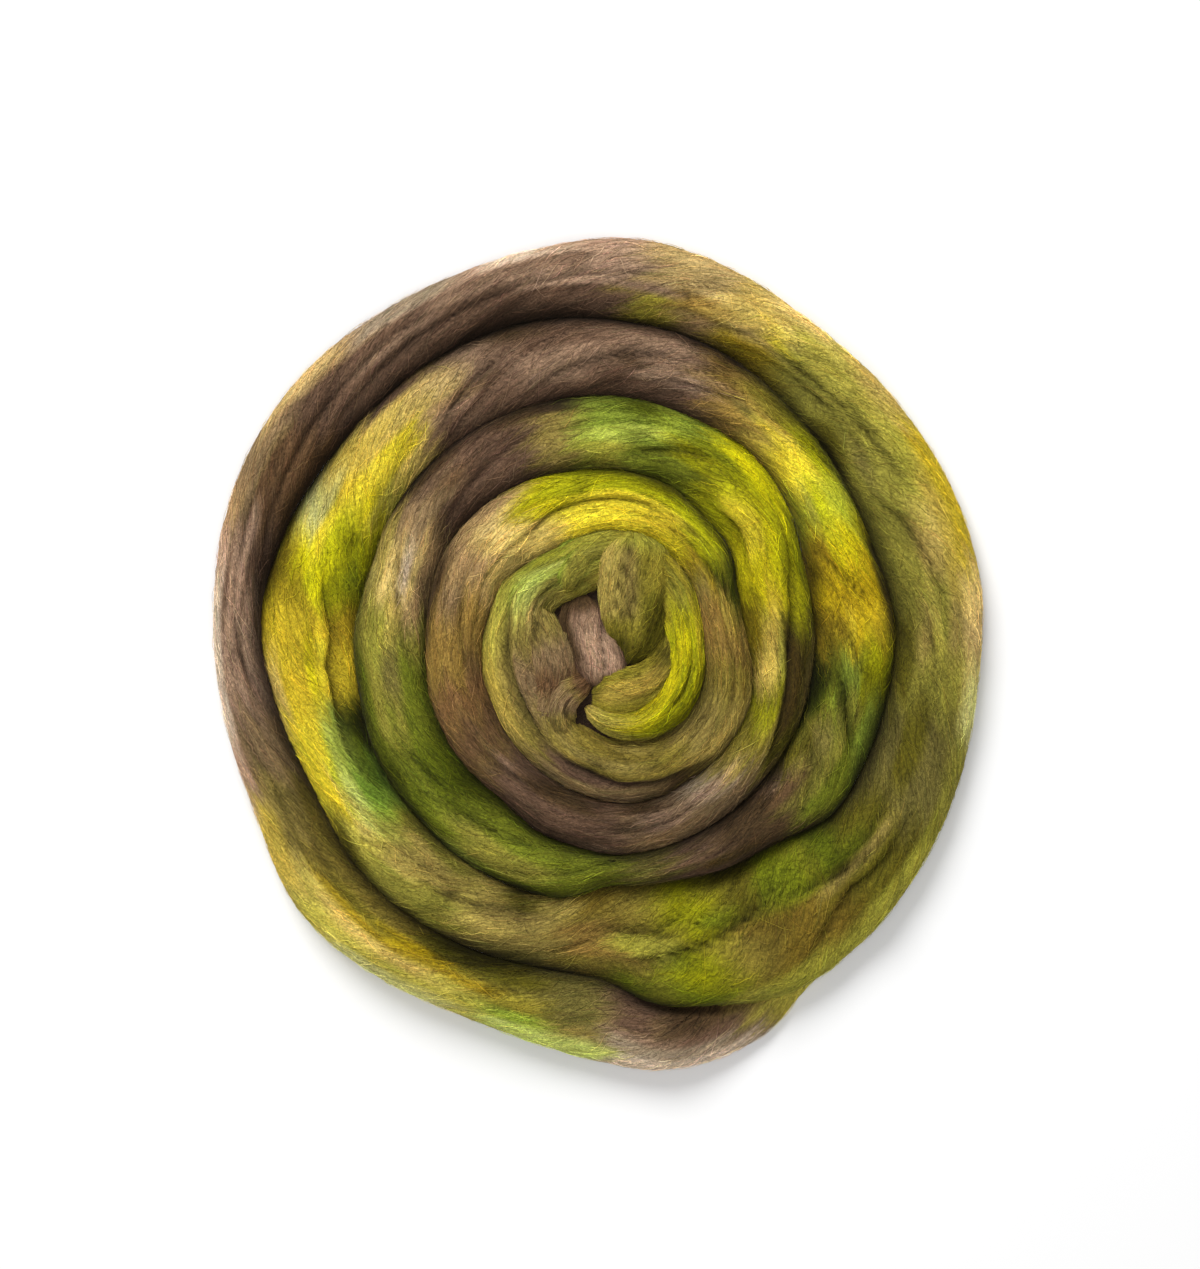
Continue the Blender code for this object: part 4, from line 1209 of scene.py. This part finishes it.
def copies(name, template, places, colours, count):
    """One mesh of so many copies of the template, each with its own cell of the map."""
    source = template.data
    vertices, corners = len(source.vertices), len(source.loops)
    starts = np.array([face.loop_start for face in source.polygons])
    corner_vertex = np.array([corner.vertex_index for corner in source.loops])
    mesh = bpy.data.meshes.new(name)
    mesh.vertices.add(vertices * count)
    mesh.loops.add(corners * count)
    mesh.polygons.add(len(starts) * count)
    copy = np.arange(count)[:, None]
    mesh.loops.foreach_set("vertex_index", (corner_vertex + copy * vertices).ravel())
    mesh.polygons.foreach_set("loop_start", (starts + copy * corners).ravel())
    set_coordinates(mesh, places)
    mesh.update(calc_edges=True)
    mesh.validate()
    set_shaded_dye(mesh, colours.reshape(-1, 3))
    # Each copy's own cell: its length up the cell, its sides across.
    straight = coordinates(source)[corner_vertex]
    sides = (np.arctan2(straight[:, 1], straight[:, 0]) / FULL_TURN) % 1.0
    grid = math.ceil(math.sqrt(count))
    column, row = copy % grid, copy // grid
    u = (column + inset(sides, CELL_SIDE_MARGIN)) / grid
    v = (row + inset(straight[:, 2], CELL_END_MARGIN)) / grid
    set_map(mesh, "OFBake", np.stack((u.ravel(), v.ravel()), 1))
    mesh.shade_smooth()
    made = bpy.data.objects.new(name, mesh)
    bpy.context.scene.collection.objects.link(made)
    return made


# ---------------------------------------------------------------------------------------
# Materials.


def set_inputs(node, inputs):
    """Links an input where it is given an output, and sets its value otherwise."""
    for key, value in inputs.items():
        if isinstance(value, bpy.types.NodeSocket):
            node.id_data.links.new(value, node.inputs[key])
        else:
            node.inputs[key].default_value = value


def new_node(material, kind, inputs=None, **settings):
    """A node of the material, with its inputs and its own settings."""
    node = material.node_tree.nodes.new(kind)
    for key, value in settings.items():
        setattr(node, key, value)
    set_inputs(node, inputs or {})
    return node


def new_material(name, inputs):
    """A material and its shader, with the shader's inputs."""
    material = bpy.data.materials.new(name)
    material.use_nodes = True
    shader = material.node_tree.nodes["Principled BSDF"]
    set_inputs(shader, inputs)
    return material, shader


def scaled(material, colour, factor):
    """A colour times a factor that comes from another node."""
    inputs = {0: colour, "Scale": factor}
    return new_node(material, "ShaderNodeVectorMath", inputs, operation="SCALE").outputs["Vector"]


def ranged(material, value, source, target):
    """A value carried from the source range over to the target range."""
    names = ("From Min", "From Max", "To Min", "To Max")
    inputs = {"Value": value, **dict(zip(names, source + target))}
    return new_node(material, "ShaderNodeMapRange", inputs).outputs["Result"]


def wool_material(name, plan, bump):
    """Dyed wool: the dye on the points, with its painted shade and light, and with bump also
    streaks along the fibres.
    """
    finish = {
        "Roughness": plan.roughness,
        "Specular IOR Level": plan.shine,
        "Sheen Weight": plan.sheen,
        "Sheen Roughness": SHEEN_ROUGHNESS,
        "Sheen Tint": SHEEN_TINT,
    }
    material, shader = new_material(name, finish)
    # The dye attribute holds the dye times its painted shade and light.
    dye = new_node(material, "ShaderNodeAttribute", attribute_name="dye")
    place = new_node(material, "ShaderNodeTexCoord").outputs["Object"]
    crimp = new_node(material, "ShaderNodeTexNoise", {"Vector": place, **CRIMP_NOISE})
    contrast = (1.0 - plan.fuzz, 1.0 + plan.fuzz)
    fuzz = ranged(material, crimp.outputs["Fac"], CRIMP_LIMITS, contrast)
    colour = scaled(material, dye.outputs["Color"], fuzz)
    if bump:
        # Streaks run along the combing, which sways a little from side to side.
        combing = new_node(material, "ShaderNodeUVMap", uv_map="Combing").outputs["UV"]
        inputs = {"Vector": combing, **SWAY_NOISE}
        waves = new_node(material, "ShaderNodeTexNoise", inputs, noise_dimensions="2D")
        inputs = {0: waves.outputs["Color"], 1: SWAY, 2: combing}
        sway = new_node(material, "ShaderNodeVectorMath", inputs, operation="MULTIPLY_ADD")
        inputs = {"Vector": sway.outputs["Vector"], "Scale": STREAK_STRETCH}
        stretch = new_node(material, "ShaderNodeMapping", inputs).outputs["Vector"]
        inputs = {"Vector": stretch, **STREAK_NOISE}
        streaks = new_node(material, "ShaderNodeTexNoise", inputs, noise_dimensions="2D")
        streaks = streaks.outputs["Fac"]
        shade = ranged(material, streaks, STREAK_LIMITS, STREAK_LIGHT)
        colour = scaled(material, colour, shade)
        relief = new_node(material, "ShaderNodeBump", {"Height": streaks, **STREAK_BUMP})
        set_inputs(shader, {"Normal": relief.outputs["Normal"]})
    set_inputs(shader, {"Base Color": colour})
    return material


def floor_material(colour):
    """A plain pale surface."""
    finish = {"Base Color": (*colour, 1.0), "Roughness": 0.9, "Specular IOR Level": 0.1}
    return new_material("pale_floor", finish)[0]


# ---------------------------------------------------------------------------------------
# What a user may change.


def screen_colour(name):
    """A colour property for one dye."""
    words = name.replace("_", " ")
    return FloatVectorProperty(
        name=words.capitalize(),
        description="Screen colour of the " + words + " dye",
        subtype="COLOR_GAMMA",
        size=3,
        min=0.0,
        max=1.0,
        default=DYES[name],
    )


def linear(colour):
    """A screen colour as linear light."""
    colour = np.array(colour)
    return np.where(colour < 0.04045, colour / 12.92, ((colour + 0.055) / 1.055) ** 2.4)


def number_setting(name, description, default, **how):
    """A number that a user may change."""
    return FloatProperty(name=name, description=description, default=default, **how)


def length_setting(name, description, default):
    """A length that a user may change, in metres."""
    return number_setting(name, description, default, unit="LENGTH")


def share_setting(name, description, default):
    """A share that a user may change, shown as a slider."""
    return number_setting(name, description, default, subtype="FACTOR")


class RovingPlan(bpy.types.PropertyGroup):
    """Sizes, fibres and finish of the roving."""

    width: length_setting("Width", "The strand's width where nothing squeezes it", 0.036)
    height: length_setting("Height", "The strand's height where nothing squeezes it", 0.031)
    turn_press: length_setting(
        "Turn press", "How far neighbouring turns press into each other", 0.0008
    )
    twist_pitch: length_setting(
        "Twist pitch", "Length of strand in which its folds go once round", 0.25
    )
    fold_depth: number_setting(
        "Fold depth", "Depth of the main folds as a share of the half height", 0.24
    )
    # Strength of the painted shade beside the grooves and down the bunches' lower sides.
    groove_shade: share_setting(
        "Groove shade", "How dark the fibres are deep between two turns", 0.85
    )
    relief: number_setting("Relief", "Strength of the smaller folds and creases", 1.0)
    rings: IntProperty(
        name="Rings",
        description="Rings of faces along the strand",
        default=860,
    )
    points_round: IntProperty(
        name="Points round",
        description="Points round the strand",
        default=64,
    )
    fibre_count: IntProperty(
        name="Fibres",
        description="Combed fibres on the strand and its bunches",
        default=36000,
    )
    fibre_length: length_setting("Fibre length", "Mean length of a fibre that shows", 0.022)
    fibre_thickness: length_setting(
        "Fibre thickness", "Mean thickness of a lock of fibres", 0.0003
    )
    hair_count: IntProperty(
        name="Hairs",
        description="Fine crimped hairs that stray over the surface",
        default=13500,
    )
    hair_length: length_setting("Hair length", "Mean length of a crimped hair", 0.012)
    hair_thickness: length_setting("Hair thickness", "Mean thickness of a crimped hair", 0.00022)
    hair_brightness: number_setting(
        "Hair brightness", "How much lighter the crimped hairs are than the wool below them", 1.4
    )
    fuzz: share_setting("Fuzz", "Contrast of the finest crimp", 0.35)
    roughness: share_setting("Roughness", "Roughness of the wool", 0.75)
    shine: share_setting("Shine", "Specular level of the wool", 0.08)
    sheen: share_setting("Sheen", "Soft glow of the fibres seen aslant", 0.045)

    def dye(self, name):
        """The linear colour of a dye."""
        return linear(getattr(bpy.context.scene.roving_dyes, name))


class RovingDyes(bpy.types.PropertyGroup):
    """The dyes' colours."""

    __annotations__ = {name: screen_colour(name) for name in DYES}


class StagePlan(bpy.types.PropertyGroup):
    """Floor, light and camera."""

    floor_colour: FloatVectorProperty(
        name="Floor colour",
        description="Colour of the plain floor",
        subtype="COLOR",
        size=3,
        default=(0.9, 0.9, 0.9),
    )
    key_power: number_setting(
        "Key light", "Power of the soft light over the top edge", 150.0, unit="POWER"
    )
    overhead_power: number_setting(
        "Overhead light", "Power of the broad light straight over the coil", 18.0, unit="POWER"
    )
    world_light: number_setting("Room light", "Strength of the even light from all round", 0.3)
    camera_height: length_setting("Camera height", "Height of the camera over the floor", 1.5)
    view_width: length_setting(
        "View width", "Width that the picture takes in at half the strand's height", 0.6
    )


# ---------------------------------------------------------------------------------------
# Operators.


def finish_piece(piece, material):
    """Gives a piece its material and its body."""
    piece.data.materials.clear()
    piece.data.materials.append(material)
    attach(piece, BODY)
    return piece


def all_surfaces(plan):
    """The strand and the bunches."""
    return [Strand(plan)] + [Bunch(plan, name) for name in BUNCHES]


class ROVING_OT_strand(bpy.types.Operator):
    """Winds the strand and packs its core"""

    bl_idname = "roving.strand"
    bl_label = "Wind the strand"

    def execute(self, context):
        plan = context.scene.roving_plan
        material = wool_material("combed_wool", plan, True)
        for surface in all_surfaces(plan):
            if surface.name == "strand":
                tube = straight_tube("wound_strand", plan.rings, plan.points_round)
            else:
                tube = straight_tube("core_" + surface.name, CORE_RINGS, CORE_POINTS)
            finish_piece(wind(tube, surface), material)
            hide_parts(NODE)
        return {"FINISHED"}


def drawn(random, count, limits, power=1):
    """Random values, each a least value and a share of the range above it."""
    least, reach = limits
    return least + reach * random.random(count) ** power


def choose_fibres(surfaces, count, length_mm, thickness_mm, random):
    """Where each fibre lies, its size and its own shade."""
    totals = np.array([surface.total for surface in surfaces])
    shares = totals * np.array([1.0] + [BUNCH_DENSITY] * (len(surfaces) - 1))
    tries = count * TRIES
    which = random.choice(len(surfaces), tries, p=shares / shares.sum())
    length = random.random(tries) * totals[which]
    around = (random.random(tries) * 2.0 - 0.5) * math.pi
    outside = (which == 0) & (surfaces[0].wound_at(length) < OPEN_TURN) & (np.cos(around) > 0.0)
    below = np.where(outside, OPEN_DENSITY, COVERED_DENSITY)
    density = np.where(np.sin(around) > 0.0, 1.0, below)
    density = np.where(np.sin(around) < LOWEST_SINE, 0.0, density)
    kept = np.flatnonzero(random.random(tries) < density)[:count]
    kept = kept[np.lexsort((length[kept], which[kept]))]
    total = len(kept)
    own = length_mm * drawn(random, total, LENGTH_RANGE)
    longest = np.where(which[kept] == 0, np.inf, totals[which[kept]] * LONGEST_SHARE)
    shade = random.normal(0.0, SHADE_SPREAD, (total, 1))
    shade = shade + random.normal(0.0, HUE_SPREAD, (total, 3))
    return {
        "surface": which[kept],
        "length": length[kept],
        "around": around[kept],
        "own": np.minimum(own, longest),
        "thick": thickness_mm / 2.0 * drawn(random, total, THICKNESS_RANGE),
        "rise": drawn(random, total, FIBRE_RISE),
        "ends": drawn(random, total, FIBRE_ENDS),
        "tip": np.zeros(total),
        "stray": random.normal(0.0, FIBRE_STRAY, total),
        "crimp": random.normal(0.0, FIBRE_CRIMP, total),
        "wave": random.random(total) * FULL_TURN,
        "bleed": random.normal(0.0, BLEED_SPREAD, total),
        "tint": np.exp(shade),
    }


def lay_in_pieces(name, surfaces, picks, rings, crimp_length, material):
    """Lays the fibres as several meshes, none of them too heavy."""
    template = straight_fibre(rings)
    faces = 6 * (rings - 2)
    pieces = math.ceil(len(picks["own"]) * faces / MOST_FACES)
    for index, chosen in enumerate(np.array_split(np.arange(len(picks["own"])), pieces)):
        part = {key: values[chosen] for key, values in picks.items()}
        piece = lay_fibres(f"{name}_{index + 1}", surfaces, part, template, crimp_length)
        finish_piece(piece, material)
    bpy.data.objects.remove(template)


class ROVING_OT_fibres(bpy.types.Operator):
    """Lays the combed fibres along the strand"""

    bl_idname = "roving.fibres"
    bl_label = "Lay the fibres"

    def execute(self, context):
        plan = context.scene.roving_plan
        surfaces = all_surfaces(plan)
        random = np.random.default_rng(FIBRE_SEED)
        size = (plan.fibre_length / MM, plan.fibre_thickness / MM)
        picks = choose_fibres(surfaces, plan.fibre_count, *size, random)
        material = wool_material("wool_fibres", plan, False)
        crimp = FIBRE_CRIMP_LENGTH
        lay_in_pieces("combed_fibres", surfaces, picks, FIBRE_RINGS, crimp, material)
        return {"FINISHED"}


class ROVING_OT_hairs(bpy.types.Operator):
    """Adds the fine crimped hairs that stray over the wool"""

    bl_idname = "roving.hairs"
    bl_label = "Add crimped hairs"

    def execute(self, context):
        plan = context.scene.roving_plan
        surfaces = all_surfaces(plan)
        random = np.random.default_rng(HAIR_SEED)
        size = (plan.hair_length / MM, plan.hair_thickness / MM)
        picks = choose_fibres(surfaces, plan.hair_count, *size, random)
        count = len(picks["own"])
        picks["rise"] = drawn(random, count, HAIR_RISE, 2)
        picks["ends"] = drawn(random, count, HAIR_ENDS)
        picks["tip"] = drawn(random, count, HAIR_TIP, 4)
        picks["stray"] = random.normal(0.0, HAIR_STRAY, count)
        picks["crimp"] = random.normal(0.0, HAIR_CRIMP, count)
        picks["tint"] = picks["tint"] * plan.hair_brightness
        material = wool_material("loose_wool", plan, False)
        crimp = HAIR_CRIMP_LENGTH
        lay_in_pieces("crimped_hairs", surfaces, picks, HAIR_RINGS, crimp, material)
        return {"FINISHED"}


class ROVING_OT_stage(bpy.types.Operator):
    """Sets the floor, the lights and the camera"""

    bl_idname = "roving.stage"
    bl_label = "Set the stage"

    def execute(self, context):
        plan = context.scene.stage_plan
        clear_selection()
        bpy.ops.mesh.primitive_plane_add(size=FLOOR_SIZE, location=(0.0, 0.0, FLOOR_LEVEL))
        floor = context.object
        floor.name = "floor"
        floor.data.materials.append(floor_material(plan.floor_colour))
        for name, place, size in LIGHTS:
            bpy.ops.object.light_add(type="AREA", location=place)
            light = context.object
            light.name = name + "_light"
            light.data.shape = "DISK"
            light.data.size = size
            light.data.energy = getattr(plan, name + "_power")
            light.rotation_euler = (-Vector(place)).to_track_quat("-Z", "Y").to_euler()
        world = context.scene.world or bpy.data.worlds.new("World")
        context.scene.world = world
        world.use_nodes = True
        background = world.node_tree.nodes["Background"]
        background.inputs["Color"].default_value = (1.0, 1.0, 1.0, 1.0)
        background.inputs["Strength"].default_value = plan.world_light
        pixel = plan.view_width / PHOTO_WIDTH
        x = WINDING_CENTRE[0] * MM + (PHOTO_CENTRE[0] - WINDING_PIXEL[0]) * pixel
        y = WINDING_CENTRE[1] * MM - (PHOTO_CENTRE[1] - WINDING_PIXEL[1]) * pixel
        bpy.ops.object.camera_add(location=(x, y, plan.camera_height), rotation=(0.0, 0.0, 0.0))
        camera = context.object
        camera.name = "camera"
        camera.data.sensor_fit = "HORIZONTAL"
        camera.data.sensor_width = SENSOR_WIDTH
        distance = plan.camera_height - MIDDLE_HEIGHT * MM
        camera.data.lens = SENSOR_WIDTH * distance / plan.view_width
        context.scene.camera = camera
        context.scene.view_settings.view_transform = "Standard"
        clear_selection()
        return {"FINISHED"}


class ROVING_PT_panel(bpy.types.Panel):
    """Steps and settings of the roving"""

    bl_idname = "ROVING_PT_panel"
    bl_label = "Wool roving"
    bl_space_type = "VIEW_3D"
    bl_region_type = "UI"
    bl_category = "Roving"

    def draw(self, context):
        for step in STEPS:
            self.layout.operator(step.bl_idname)
        for group in ("roving_plan", "roving_dyes", "stage_plan"):
            settings = getattr(context.scene, group)
            column = self.layout.column()
            for key in settings.__annotations__:
                column.prop(settings, key)


STEPS = (ROVING_OT_strand, ROVING_OT_fibres, ROVING_OT_hairs, ROVING_OT_stage)
GROUPS = (RovingPlan, RovingDyes, StagePlan)


def register():
    """Adds the classes and their settings."""
    for item in GROUPS + STEPS + (ROVING_PT_panel,):
        bpy.utils.register_class(item)
    bpy.types.Scene.roving_plan = PointerProperty(type=RovingPlan)
    bpy.types.Scene.roving_dyes = PointerProperty(type=RovingDyes)
    bpy.types.Scene.stage_plan = PointerProperty(type=StagePlan)


def unregister():
    """Takes the classes and their settings away."""
    del bpy.types.Scene.stage_plan
    del bpy.types.Scene.roving_dyes
    del bpy.types.Scene.roving_plan
    for item in reversed(GROUPS + STEPS + (ROVING_PT_panel,)):
        bpy.utils.unregister_class(item)


def main():
    """Builds every piece and the stage."""
    register()
    bpy.ops.roving.strand()
    bpy.ops.roving.fibres()
    bpy.ops.roving.hairs()
    bpy.ops.roving.stage()


if __name__ == "__main__":
    main()
